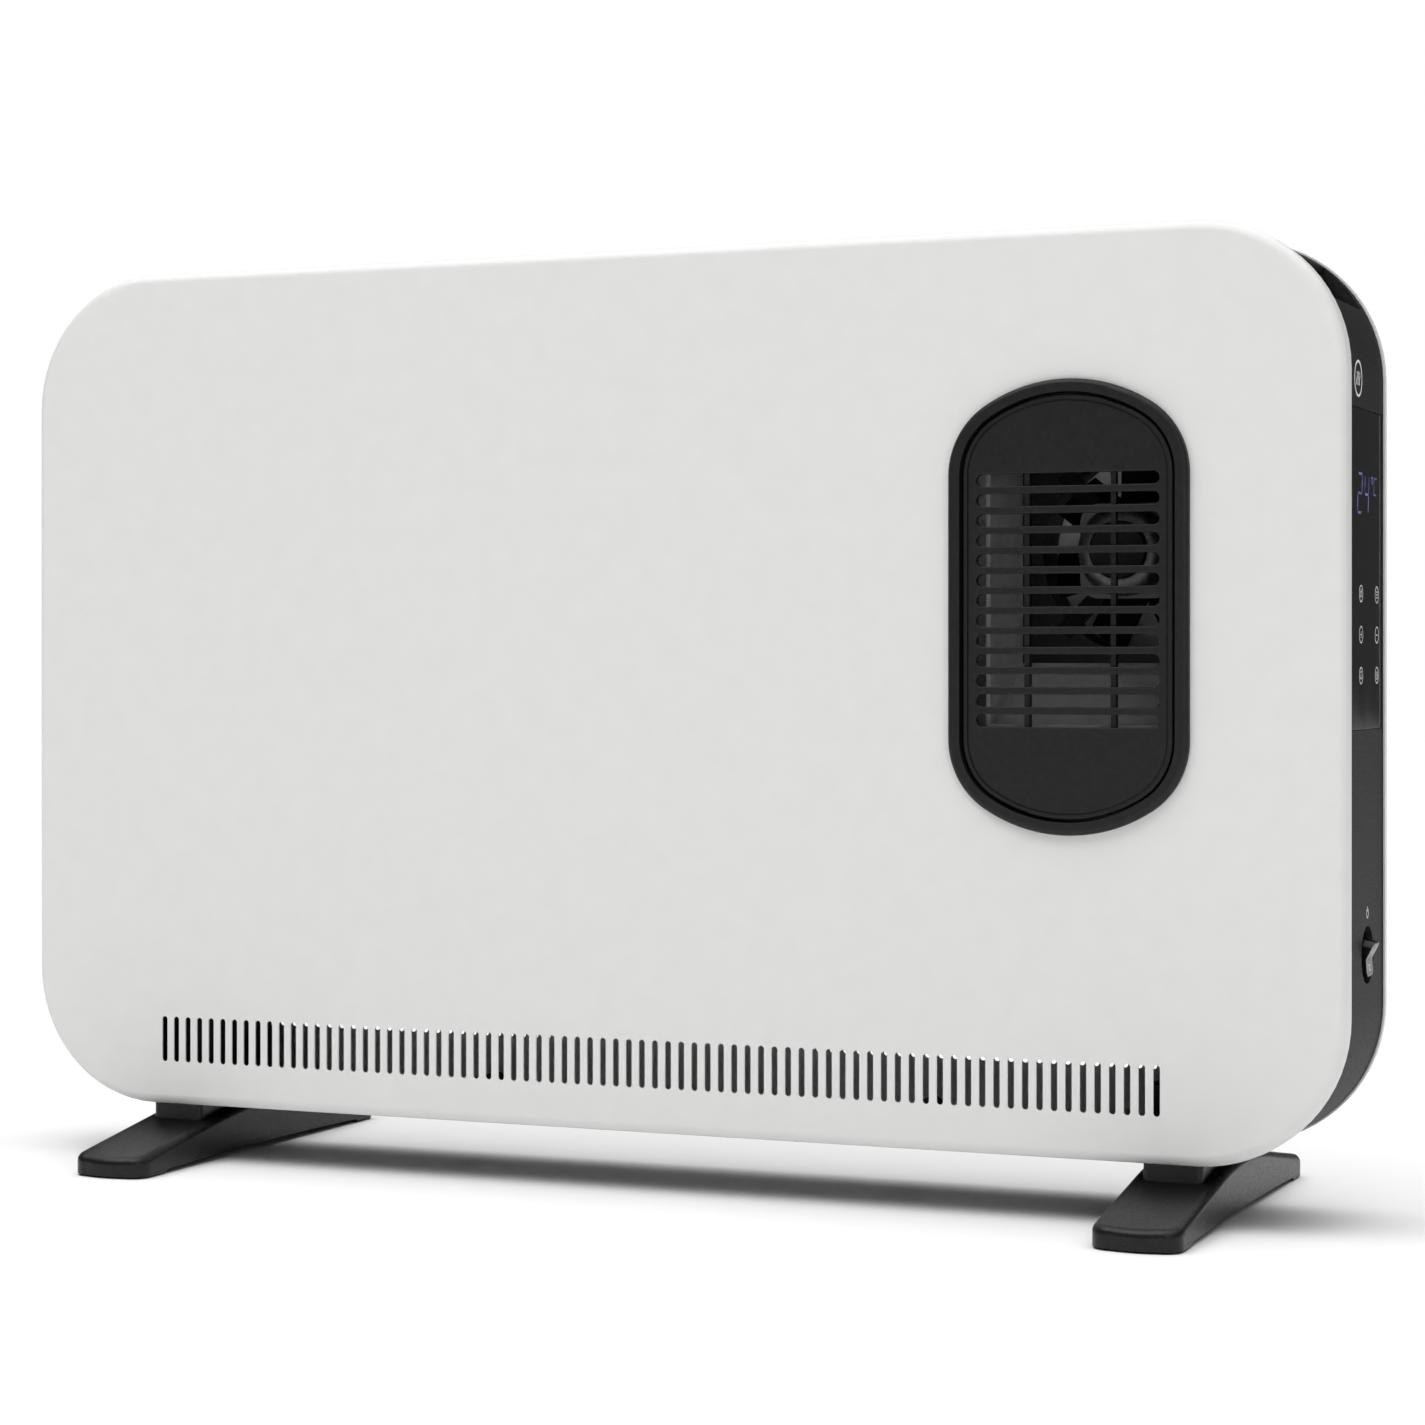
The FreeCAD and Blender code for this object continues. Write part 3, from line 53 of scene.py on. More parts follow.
# %% Load the frame and measure it
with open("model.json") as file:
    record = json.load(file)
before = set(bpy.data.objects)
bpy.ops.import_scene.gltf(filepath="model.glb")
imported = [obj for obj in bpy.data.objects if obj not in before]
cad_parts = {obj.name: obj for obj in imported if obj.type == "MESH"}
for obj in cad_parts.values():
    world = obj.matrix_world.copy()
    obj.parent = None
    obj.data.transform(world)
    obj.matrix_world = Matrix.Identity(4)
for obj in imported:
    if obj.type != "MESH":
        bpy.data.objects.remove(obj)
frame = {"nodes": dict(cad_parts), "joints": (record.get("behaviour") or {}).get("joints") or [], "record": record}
cad_low, cad_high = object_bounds()
MM = 0.001
panel_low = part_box("front_panel")[0]
back_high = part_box("rear_panel")[1]
print("case", [round(v / MM, 1) for v in cad_high - cad_low], "mm,", len(frame["nodes"]), "nodes")

# %% [markdown]
# ## Places on the case
# A maker dimensions the controls from two faces: how far behind the front of the panel,
# and how far above its lower edge. These two helpers turn such a pair into the frame's
# Y and Z, so every mark below is placed the way it would be on a drawing.


# %% Two datum helpers
def depth_y(depth):
    """Y of a place this many millimetres behind the panel's front."""
    return panel_low.y + depth * MM


def height_z(height):
    """Z of a place this many millimetres above the panel's lower edge."""
    return panel_low.z + height * MM


print("front face y", round(panel_low.y, 4), "lower edge z", round(panel_low.z, 4))

# %% [markdown]
# ## Camera
# The heater is seen from the side of its controls, with the camera held level at about half
# its height, so upright edges stay upright. A long lens keeps the far end from shrinking.
# A small shift lowers the picture's edge, which keeps the verticals parallel; tilting
# the camera would frame it too, but the case would then seem to lean.

# %% Camera
CAMERA_TURN = 0.40
CAMERA_DISTANCE = 1.6594
CAMERA_HEIGHT = 0.2576
SENSOR_WIDTH, FOCAL_LENGTH = 36.0, 82.69
FRAMING_SHIFT = -0.0385
lens = bpy.data.cameras.new("camera")
lens.sensor_width = SENSOR_WIDTH
lens.lens = FOCAL_LENGTH
lens.shift_y = FRAMING_SHIFT
camera = bpy.data.objects.new("camera", lens)
bpy.context.scene.collection.objects.link(camera)
camera.location = (
    CAMERA_DISTANCE * math.sin(CAMERA_TURN),
    back_high.y - CAMERA_DISTANCE * math.cos(CAMERA_TURN),
    CAMERA_HEIGHT,
)
camera.rotation_euler = (math.pi / 2, 0, CAMERA_TURN)
bpy.context.scene.camera = camera
print("camera at", [round(v, 3) for v in camera.location])


# %% [markdown]
# ## Colours
# Colours are given as sRGB hex values, but a shader works in linear light.
# One function does the conversion, so that no colour is entered twice or by guesswork.


# %% Hex to linear
def linear(hex_colour):
    """Linear RGBA of an sRGB hex colour such as 'E8E8E6'."""
    channels = [int(hex_colour[i:i + 2], 16) / 255 for i in (0, 2, 4)]
    curve = [c / 12.92 if c <= 0.04045 else ((c + 0.055) / 1.055) ** 2.4 for c in channels]
    return (*curve, 1.0)


print("mid grey 808080 is", round(linear("808080")[0], 3), "in linear light")


# %% [markdown]
# ## One helper for shader nodes
# Every finish below is a handful of nodes. This helper adds one node, sets what is named
# with a capital letter or a number on its sockets and the rest on the node itself, and
# links its inputs to outputs made before. A pattern's scale is then given as a real size.


# %% Node helper and pattern scale
def add(tree, kind, settings=None, links=None):
    """Adds one node to a shader tree, with its settings and its incoming links."""
    made = tree.nodes.new(kind)
    for key, value in (settings or {}).items():
        if isinstance(key, int) or key in made.inputs:
            made.inputs[key].default_value = value
        else:
            setattr(made, key, value)
    for key, source in (links or {}).items():
        tree.links.new(source, made.inputs[key])
    return made


def per_size(millimetres):
    """Texture scale whose features are about this many millimetres across."""
    return 1.0 / (millimetres * MM)


def start_finish(name, colour, roughness, **sockets):
    """A material with a Principled shader; returns the material, its tree and shader."""
    material = bpy.data.materials.new(name)
    material.use_nodes = True
    tree = material.node_tree
    shader = tree.nodes["Principled BSDF"]
    shader.inputs["Base Color"].default_value = linear(colour)
    shader.inputs["Roughness"].default_value = roughness
    for socket, value in sockets.items():
        shader.inputs[socket.replace("_", " ")].default_value = value
    return material, tree, shader


def mottle(tree, shader, place, size, colours, spread=(0.35, 0.65)):
    """Lets the base colour drift between two hex colours over patches of a given size."""
    noise = add(tree, "ShaderNodeTexNoise", {"Scale": per_size(size), "Detail": 4.0}, {"Vector": place})
    ramp = add(tree, "ShaderNodeValToRGB", {}, {"Fac": noise.outputs["Fac"]})
    for stop, position, colour in zip(ramp.color_ramp.elements, spread, colours):
        stop.position = position
        stop.color = linear(colour)
    tree.links.new(ramp.outputs["Color"], shader.inputs["Base Color"])
    return noise


def wander(tree, shader, height, low, high):
    """Lets roughness drift between two values with a pattern's height."""
    spread = add(
        tree, "ShaderNodeMapRange",
        {"From Min": 0.3, "From Max": 0.7, "To Min": low, "To Max": high},
        {"Value": height},
    )
    tree.links.new(spread.outputs["Result"], shader.inputs["Roughness"])


def relief(tree, shader, height, depth, strength=1.0):
    """Turns a pattern's height into relief this many millimetres deep."""
    bump = add(tree, "ShaderNodeBump", {"Strength": strength, "Distance": depth * MM}, {"Height": height})
    tree.links.new(bump.outputs["Normal"], shader.inputs["Normal"])


print("a 2 mm pattern has scale", per_size(2.0))

# %% [markdown]
# ## White powder coat
# The trays are sheet steel, pressed, then dusted with dry paint that melts in an oven.
# The melt leaves a faint orange peel, waves about 2 mm wide and a few microns high, which
# softens reflections. The pigment is a neutral white; the film's IOR is about 1.5.


# %% Powder coat
def white_powder_coat():
    material, tree, shader = start_finish("powder_coated_steel", "DEDEDD", 0.42, IOR=1.5)
    place = add(tree, "ShaderNodeTexCoord").outputs["Object"]
    mottle(tree, shader, place, 12.0, ("DDDDDC", "DFDFDE"))
    peel = add(tree, "ShaderNodeTexNoise", {"Scale": per_size(2.2), "Detail": 2.0}, {"Vector": place})
    wander(tree, shader, peel.outputs["Fac"], 0.38, 0.47)
    relief(tree, shader, peel.outputs["Fac"], 0.02, 0.35)
    return material


# %% [markdown]
# ## Moulded blacks
# The band is ABS from a spark-eroded mould. The sparks pit the steel, so the plastic comes
# out with a fine matte grain that scatters light and lifts the black to a dark grey. The
# pits also swallow most of the glare seen along the surface, so its specular level is low.
# The true grain is about 0.1 mm, too fine to show, so it is drawn nine times as coarse.
# The outlet is a heat-resistant grade with a smoother face, and the feet are polypropylene,
# which is slightly waxy. Each black therefore has its own roughness and grain.


# %% Band, outlet and foot plastics
def black_frame_plastic():
    material, tree, shader = start_finish(
        "spark_textured_abs", "282829", 0.5, IOR=1.53, Specular_IOR_Level=0.05
    )
    place = add(tree, "ShaderNodeTexCoord").outputs["Object"]
    mottle(tree, shader, place, 1.1, ("212122", "2F2F30"))
    grain = add(tree, "ShaderNodeTexNoise", {"Scale": per_size(0.9), "Detail": 3.0}, {"Vector": place})
    wander(tree, shader, grain.outputs["Fac"], 0.42, 0.6)
    relief(tree, shader, grain.outputs["Fac"], 0.06, 0.5)
    return material


def black_grille_plastic():
    material, tree, shader = start_finish(
        "heat_resistant_pbt", "171718", 0.45, IOR=1.57, Specular_IOR_Level=0.22
    )
    place = add(tree, "ShaderNodeTexCoord").outputs["Object"]
    mottle(tree, shader, place, 2.5, ("141415", "1A1A1B"))
    grain = add(tree, "ShaderNodeTexNoise", {"Scale": per_size(0.7), "Detail": 2.0}, {"Vector": place})
    wander(tree, shader, grain.outputs["Fac"], 0.38, 0.5)
    relief(tree, shader, grain.outputs["Fac"], 0.03, 0.4)
    return material


def black_foot_plastic():
    material, tree, shader = start_finish(
        "moulded_polypropylene", "121212", 0.32, IOR=1.49, Specular_IOR_Level=0.3
    )
    place = add(tree, "ShaderNodeTexCoord").outputs["Object"]
    mottle(tree, shader, place, 6.0, ("101010", "171717"))
    grain = add(tree, "ShaderNodeTexNoise", {"Scale": per_size(1.0), "Detail": 3.0}, {"Vector": place})
    wander(tree, shader, grain.outputs["Fac"], 0.26, 0.42)
    relief(tree, shader, grain.outputs["Fac"], 0.04, 0.4)
    return material


# %% [markdown]
# ## Gloss black
# The touch panel is clear acrylic with black ink behind it: deep black, mirror smooth, and
# bright only where it reflects something. The switch is nylon from a polished mould, a
# little softer. Both get a whisper of surface waviness, or they look like computer glass.


# %% Acrylic and switch nylon
def gloss_black_panel():
    material, tree, shader = start_finish(
        "back_inked_acrylic", "050506", 0.12, IOR=1.49, Specular_IOR_Level=0.08
    )
    place = add(tree, "ShaderNodeTexCoord").outputs["Object"]
    sag = add(tree, "ShaderNodeTexNoise", {"Scale": per_size(30.0), "Detail": 1.0}, {"Vector": place})
    wander(tree, shader, sag.outputs["Fac"], 0.09, 0.16)
    relief(tree, shader, sag.outputs["Fac"], 0.02, 0.3)
    return material


def switch_plastic():
    material, tree, shader = start_finish(
        "polished_nylon", "0C0C0D", 0.26, IOR=1.53, Specular_IOR_Level=0.25
    )
    place = add(tree, "ShaderNodeTexCoord").outputs["Object"]
    mottle(tree, shader, place, 3.0, ("09090A", "111112"))
    sag = add(tree, "ShaderNodeTexNoise", {"Scale": per_size(4.0), "Detail": 2.0}, {"Vector": place})
    wander(tree, shader, sag.outputs["Fac"], 0.2, 0.34)
    relief(tree, shader, sag.outputs["Fac"], 0.02, 0.3)
    return material


# %% [markdown]
# ## Rubber and white plastics
# The pads are cured rubber with a dusty bloom, so they are rough all over. Small inner
# parts are natural nylon, a creamy and slightly translucent white; the insulating bushes
# are steatite, a hard glazed ceramic with fine specks.


# %% Rubber, nylon and steatite
def rubber_pad():
    material, tree, shader = start_finish("cured_rubber", "171717", 0.85, IOR=1.52)
    place = add(tree, "ShaderNodeTexCoord").outputs["Object"]
    bloom = mottle(tree, shader, place, 3.0, ("131313", "202020"))
    relief(tree, shader, bloom.outputs["Fac"], 0.05, 0.5)
    return material


def nylon_white():
    material, tree, shader = start_finish(
        "natural_nylon", "E2DDCE", 0.45, IOR=1.53, Subsurface_Weight=0.15, Subsurface_Scale=0.002
    )
    place = add(tree, "ShaderNodeTexCoord").outputs["Object"]
    flow = mottle(tree, shader, place, 12.0, ("DCD6C6", "E8E4D8"))
    relief(tree, shader, flow.outputs["Fac"], 0.03, 0.3)
    return material


def ceramic():
    material, tree, shader = start_finish("glazed_steatite", "E9E3D4", 0.22, IOR=1.55)
    place = add(tree, "ShaderNodeTexCoord").outputs["Object"]
    specks = mottle(tree, shader, place, 0.8, ("D2C8B2", "ECE7DA"), (0.3, 0.4))
    relief(tree, shader, specks.outputs["Fac"], 0.01, 0.3)
    return material


# %% [markdown]
# ## Zinc on steel
# Hot-dip galvanised sheet freezes into crystals called spangle, flat patches about 8 mm
# across that each tilt light a little differently. Voronoi cells give that look directly.
# Screws are plated instead: a thin, bright, faintly blue zinc with turning marks. The
# motor's bracket is the same sheet made matte black, a painted shade that keeps its arms
# as dark as the shadowed middle of the duct.


# %% Galvanised sheet, black sheet as painted shade, plated screws
def galvanised_sheet():
    material, tree, shader = start_finish("spangled_galvanised_steel", "AEB2B5", 0.4, Metallic=1.0)
    place = add(tree, "ShaderNodeTexCoord").outputs["Object"]
    cells = add(tree, "ShaderNodeTexVoronoi", {"Scale": per_size(8.0)}, {"Vector": place})
    grey = add(tree, "ShaderNodeRGBToBW", {}, {"Color": cells.outputs["Color"]})
    tint = add(tree, "ShaderNodeValToRGB", {}, {"Fac": grey.outputs["Val"]})
    tint.color_ramp.elements[0].color = linear("989DA1")
    tint.color_ramp.elements[1].color = linear("C3C6C8")
    tree.links.new(tint.outputs["Color"], shader.inputs["Base Color"])
    wander(tree, shader, grey.outputs["Val"], 0.3, 0.5)
    relief(tree, shader, grey.outputs["Val"], 0.02, 0.4)
    return material


# The bracket's black is painted shade: it keeps the arms as dark as the shadowed duct around them.
def black_sheet():
    material, tree, shader = start_finish(
        "black_steel_painted_shade", "090909", 0.7, IOR=1.5, Specular_IOR_Level=0.2
    )
    place = add(tree, "ShaderNodeTexCoord").outputs["Object"]
    film = mottle(tree, shader, place, 3.0, ("070707", "0C0C0C"))
    wander(tree, shader, film.outputs["Fac"], 0.6, 0.8)
    relief(tree, shader, film.outputs["Fac"], 0.02, 0.3)
    return material


def zinc_screw():
    material, tree, shader = start_finish("bright_zinc_plate", "C4C8CA", 0.28, Metallic=1.0)
    place = add(tree, "ShaderNodeTexCoord").outputs["Object"]
    film = mottle(tree, shader, place, 1.5, ("B9BFC4", "CFCFC8"))
    wander(tree, shader, film.outputs["Fac"], 0.22, 0.36)
    relief(tree, shader, film.outputs["Fac"], 0.01, 0.3)
    return material


# %% [markdown]
# ## Motor metals
# The stator and the rotor are stacks of thin steel stampings, so their sides show fine
# layers. A sheet is 0.5 mm, drawn as 1 mm to show. The coil is enamelled copper laid turn
# by turn, the bushes are sintered bronze with open pores, and the cap is die-cast zinc
# with a dark, passivated skin.


# %% Laminations, winding, bronze and die casting
def laminated_steel():
    material, tree, shader = start_finish("stacked_laminations", "6C6E70", 0.42, Metallic=1.0)
    place = add(tree, "ShaderNodeTexCoord").outputs["Object"]
    layers = add(
        tree, "ShaderNodeTexWave",
        {"bands_direction": "Y", "Scale": per_size(1.0) / 20, "Distortion": 0.3, "Detail": 1.0},
        {"Vector": place},
    )
    wander(tree, shader, layers.outputs["Fac"], 0.3, 0.55)
    relief(tree, shader, layers.outputs["Fac"], 0.08, 0.6)
    return material


def copper_winding():
    material, tree, shader = start_finish("enamelled_copper", "B4683A", 0.3, Metallic=1.0)
    shader.inputs["Coat Weight"].default_value = 0.6
    place = add(tree, "ShaderNodeTexCoord").outputs["Object"]
    turns = add(
        tree, "ShaderNodeTexWave",
        {"bands_direction": "Z", "Scale": per_size(0.6) / 20, "Distortion": 0.6, "Detail": 2.0},
        {"Vector": place},
    )
    wander(tree, shader, turns.outputs["Fac"], 0.25, 0.4)
    relief(tree, shader, turns.outputs["Fac"], 0.15, 0.8)
    return material


def bronze_bush():
    material, tree, shader = start_finish("sintered_bronze", "9C7A45", 0.5, Metallic=1.0)
    place = add(tree, "ShaderNodeTexCoord").outputs["Object"]
    pores = mottle(tree, shader, place, 0.4, ("5E4A2A", "A6854E"), (0.36, 0.46))
    relief(tree, shader, pores.outputs["Fac"], 0.04, 0.6)
    return material


def cast_cap():
    material, tree, shader = start_finish("die_cast_zinc", "6A6C6E", 0.45, Metallic=1.0)
    place = add(tree, "ShaderNodeTexCoord").outputs["Object"]
    skin = mottle(tree, shader, place, 2.0, ("606264", "767778"))
    wander(tree, shader, skin.outputs["Fac"], 0.34, 0.5)
    relief(tree, shader, skin.outputs["Fac"], 0.05, 0.5)
    return material


# %% [markdown]
# ## Inside the warm chamber
# The duct is a light grey plastic that stands the heat, the impeller black nylon with flow
# marks. The elements' fins are thin rolled aluminium, brushed by the rolls along their
# length. The rods are sheathed steel, tinted straw and blue by their first heating.


# %% Duct, impeller, fins and rods
def duct_plastic():
    material, tree, shader = start_finish("mineral_filled_plastic", "B4B5B7", 0.6, IOR=1.55)
    place = add(tree, "ShaderNodeTexCoord").outputs["Object"]
    flow = mottle(tree, shader, place, 14.0, ("ACADAF", "BCBDBF"))
    relief(tree, shader, flow.outputs["Fac"], 0.05, 0.4)
    return material


# This black also dresses the motor's bearing cover, a dark disc that is painted shadow on the motor's face.
def impeller_plastic():
    material, tree, shader = start_finish(
        "glass_filled_nylon_and_painted_shadow", "0C0C0D", 0.5, IOR=1.53, Specular_IOR_Level=0.2
    )
    place = add(tree, "ShaderNodeTexCoord").outputs["Object"]
    flow = mottle(tree, shader, place, 5.0, ("0A0A0B", "101012"))
    wander(tree, shader, flow.outputs["Fac"], 0.44, 0.6)
    relief(tree, shader, flow.outputs["Fac"], 0.04, 0.4)
    return material


def finned_aluminium():
    material, tree, shader = start_finish("rolled_aluminium", "C6C8CA", 0.32, Metallic=1.0)
    place = add(tree, "ShaderNodeTexCoord").outputs["Object"]
    drawn = add(tree, "ShaderNodeMapping", {"Scale": (1.0, 0.04, 1.0)}, {"Vector": place})
    rolled = add(
        tree, "ShaderNodeTexNoise", {"Scale": per_size(0.5), "Detail": 3.0},
        {"Vector": drawn.outputs["Vector"]},
    )
    wander(tree, shader, rolled.outputs["Fac"], 0.24, 0.42)
    relief(tree, shader, rolled.outputs["Fac"], 0.03, 0.4)
    return material


def heater_rod():
    material, tree, shader = start_finish("heat_tinted_sheath", "7A6E62", 0.4, Metallic=1.0)
    place = add(tree, "ShaderNodeTexCoord").outputs["Object"]
    tint = mottle(tree, shader, place, 40.0, ("8A744F", "55606E"))
    wander(tree, shader, tint.outputs["Fac"], 0.34, 0.5)
    relief(tree, shader, tint.outputs["Fac"], 0.02, 0.2)
    return material


# %% [markdown]
# ## Electronics
# A circuit board is glass laminate under green solder resist; the copper tracks beneath
# show as slightly lighter, raised lines. Component cases are moulded epoxy. Terminals are
# tinned brass, softer and yellower than steel.


# %% Boards, component cases and terminals
def circuit_board():
    material, tree, shader = start_finish("solder_resist", "0C4A28", 0.35, IOR=1.55)
    place = add(tree, "ShaderNodeTexCoord").outputs["Object"]
    flat = add(tree, "ShaderNodeMapping", {"Rotation": (0, math.pi / 2, 0)}, {"Vector": place})
    tracks = add(
        tree, "ShaderNodeTexBrick",
        {
            "Color1": linear("0B4525"), "Color2": linear("0D4F2B"), "Mortar": linear("2A7A48"),
            "Scale": per_size(4.0), "Mortar Size": 0.06, "Brick Width": 1.6, "Row Height": 0.5,
        },
        {"Vector": flat.outputs["Vector"]},
    )
    tree.links.new(tracks.outputs["Color"], shader.inputs["Base Color"])
    relief(tree, shader, tracks.outputs["Fac"], 0.05, 0.6)
    return material


def board_parts():
    material, tree, shader = start_finish("moulded_epoxy", "1C2E4E", 0.42, IOR=1.55)
    place = add(tree, "ShaderNodeTexCoord").outputs["Object"]
    skin = mottle(tree, shader, place, 1.5, ("182844", "213558"))
    wander(tree, shader, skin.outputs["Fac"], 0.36, 0.5)
    relief(tree, shader, skin.outputs["Fac"], 0.03, 0.4)
    return material


def brass_terminal():
    material, tree, shader = start_finish("tinned_brass", "C2B088", 0.34, Metallic=1.0)
    place = add(tree, "ShaderNodeTexCoord").outputs["Object"]
    film = mottle(tree, shader, place, 2.0, ("B79E66", "C9C2AC"))
    wander(tree, shader, film.outputs["Fac"], 0.28, 0.42)
    relief(tree, shader, film.outputs["Fac"], 0.01, 0.3)
    return material


# %% [markdown]
# ## Ink and light
# The marks are screen print: a thick white ink, matte, with a slightly uneven film.
# The digits are lit from behind in blue-violet. Emission is enough for that; a lamp behind
# a mask would cost light samples and look the same.


# %% Printed ink and lit segments
def screen_ink():
    material, tree, shader = start_finish("screen_printed_ink", "E8E8EA", 0.6, IOR=1.5)
    place = add(tree, "ShaderNodeTexCoord").outputs["Object"]
    film = mottle(tree, shader, place, 0.7, ("D8D8DA", "F4F4F5"))
    relief(tree, shader, film.outputs["Fac"], 0.01, 0.3)
    return material


def lit_segments():
    material, tree, shader = start_finish("backlit_segments", "2A2A55", 0.3, IOR=1.5)
    place = add(tree, "ShaderNodeTexCoord").outputs["Object"]
    patch = add(tree, "ShaderNodeTexNoise", {"Scale": per_size(5.0), "Detail": 1.0}, {"Vector": place})
    glow = add(tree, "ShaderNodeValToRGB", {}, {"Fac": patch.outputs["Fac"]})
    glow.color_ramp.elements[0].position = 0.35
    glow.color_ramp.elements[0].color = linear("3D3B78")
    glow.color_ramp.elements[1].position = 0.7
    glow.color_ramp.elements[1].color = linear("8E8CE0")
    tree.links.new(glow.outputs["Color"], shader.inputs["Emission Color"])
    shader.inputs["Emission Strength"].default_value = 0.55
    return material


# %% [markdown]
# ## Dress the solids
# The part's record says which finish each solid has. Following that list, rather than
# naming fifty solids again, keeps the two from drifting apart. Only material slots are set;
# the solids themselves are never touched.

# %% Give each solid its finish
finishes = {
    "white_powder_coat": white_powder_coat(),
    "black_frame_plastic": black_frame_plastic(),
    "black_grille_plastic": black_grille_plastic(),
    "black_foot_plastic": black_foot_plastic(),
    "gloss_black_panel": gloss_black_panel(),
    "switch_plastic": switch_plastic(),
    "rubber_pad": rubber_pad(),
    "zinc_screw": zinc_screw(),
    "galvanised_sheet": galvanised_sheet(),
    "black_sheet": black_sheet(),
    "laminated_steel": laminated_steel(),
    "copper_winding": copper_winding(),
    "bronze_bush": bronze_bush(),
    "cast_cap": cast_cap(),
    "duct_plastic": duct_plastic(),
    "impeller_plastic": impeller_plastic(),
    "finned_aluminium": finned_aluminium(),
    "heater_rod": heater_rod(),
    "ceramic": ceramic(),
    "circuit_board": circuit_board(),
    "board_parts": board_parts(),
    "nylon_white": nylon_white(),
    "brass_terminal": brass_terminal(),
}
for subpart in frame["record"]["subparts"]:
    solid = frame["nodes"][subpart["node"]]
    solid.data.materials.clear()
    solid.data.materials.append(finishes[subpart["material_slot"]])


# %% [markdown]
# ## Printed marks
# A mark is a set of strokes. Each stroke is a flat ribbon along a line or an arc, a few
# hundredths of a millimetre thick like real ink. A font would be quicker, but strokes
# need no font, keep their width, and can follow any face. A mark is drawn in its own flat
# units, u to the right and v up, and a `lay` function puts each point on the object.


# %% Strokes into a thin mesh
def arc(radius, start, end, u=0.0, v=0.0, steps=24):
    """Points along an arc, in degrees from the right, counter-clockwise."""
    turns = [math.radians(start + (end - start) * k / steps) for k in range(steps + 1)]
    return [(u + radius * math.cos(t), v + radius * math.sin(t)) for t in turns]


def ribbon(points, width):
    """Left and right edges of a flat stroke along the points."""
    left, right = [], []
    for k, (u, v) in enumerate(points):
        u0, v0 = points[max(k - 1, 0)]
        u1, v1 = points[min(k + 1, len(points) - 1)]
        length = math.hypot(u1 - u0, v1 - v0)
        du, dv = (v0 - v1) / length * width / 2, (u1 - u0) / length * width / 2
        left.append((u + du, v + dv))
        right.append((u - du, v - dv))
    return left, right


def printed(name, strokes, lay, material, body, thickness=0.04):
    """Builds strokes as one thin closed mesh; lay(u, v, lift) gives the place of a point."""
    mesh = bmesh.new()
    for points, width in strokes:
        left, right = ribbon(points, width)
        rows = []
        for a, b in zip(left, right):
            corners = [(*a, 0.0), (*b, 0.0), (*b, thickness), (*a, thickness)]
            rows.append([mesh.verts.new(lay(*corner)) for corner in corners])
        for near, far in zip(rows, rows[1:]):
            for k in range(4):
                mesh.faces.new((near[k], near[k - 1], far[k - 1], far[k]))
        mesh.faces.new(rows[0])
        mesh.faces.new(rows[-1][::-1])
    bmesh.ops.recalc_face_normals(mesh, faces=mesh.faces)
    data = bpy.data.meshes.new(name)
    mesh.to_mesh(data)
    mesh.free()
    data.materials.append(material)
    piece = bpy.data.objects.new(name, data)
    bpy.context.scene.collection.objects.link(piece)
    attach(piece, body)
    print(name, len(data.polygons), "faces")
    return piece


ink, lit = screen_ink(), lit_segments()


# %% [markdown]
# ## Touch keys
# The six keys are rings printed on the acrylic, in two columns, each with a simple sign:
# standby, heat level, plus, minus, fan and timer. They are laid on the lens, whose
# outer face comes from its solid.


# %% Key rings and signs
def on_face(face_x, depth, height):
    """A lay function for the upright face at X, centred on a depth and a height."""
    def lay(u, v, lift):
        return Vector((face_x + lift * MM, depth_y(depth + u), height_z(height + v)))
    return lay


LENS_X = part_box("touch_panel_lens")[1].x
KEY_DEPTHS = (39.5, 74.5)
KEY_HEIGHTS = (257.5, 239.0, 220.5)
KEY_RADIUS, KEY_LINE, SIGN_LINE = 3.7, 0.45, 0.45
signs = {
    "standby": [arc(1.5, 125, 415), [(0, 0.3), (0, 2.1)]],
    "level": [[(-1.7, v), (1.7, v)] for v in (-1.3, 0.0, 1.3)],
    "plus": [[(-1.5, 0), (1.5, 0)], [(0, -1.5), (0, 1.5)]],
    "minus": [[(-1.5, 0), (1.5, 0)]],
    "fan": [arc(0.95, a - 70, a + 110, math.cos(math.radians(a)), math.sin(math.radians(a)), 10)
            for a in (90, 210, 330)],
    "timer": [arc(1.9, 120, 420), [(0, 1.1), (0, 0), (0.9, -0.5)]],
}
places = [(depth, height) for height in KEY_HEIGHTS for depth in KEY_DEPTHS]
for (sign, lines), (depth, height) in zip(signs.items(), places):
    strokes = [(arc(KEY_RADIUS, 0, 360, steps=40), KEY_LINE)] + [(line, SIGN_LINE) for line in lines]
    printed("key_" + sign, strokes, on_face(LENS_X, depth, height), ink, "case")

# %% [markdown]
# ## Temperature digits
# The display shows two seven-segment figures and a small degree sign, all leaning a little
# as such displays do. A figure is a list of lit segments; the corners they join are the
# same for every figure, so one small table of corners serves them all.

# %% Lit figures
FIGURE_WIDTH, FIGURE_HEIGHT, LEAN, SEGMENT = 8.6, 17.6, 0.14, 1.15
FIGURE_PITCH, SMALL_SEGMENT = 14.6, 0.9
DEGREE_RADIUS, DEGREE_LINE, DEGREE_PLACE = 1.5, 0.7, (32.6, 15.6)
DISPLAY_DEPTH, DISPLAY_HEIGHT = 31.5, 294.0
corners = {
    "a": (0, 1), "b": (1, 1), "c": (0, 0.5), "d": (1, 0.5), "e": (0, 0), "f": (1, 0),
}
lit_lines = {"2": ("ab", "bd", "cd", "ce", "ef"), "4": ("ac", "cd", "bd", "df")}


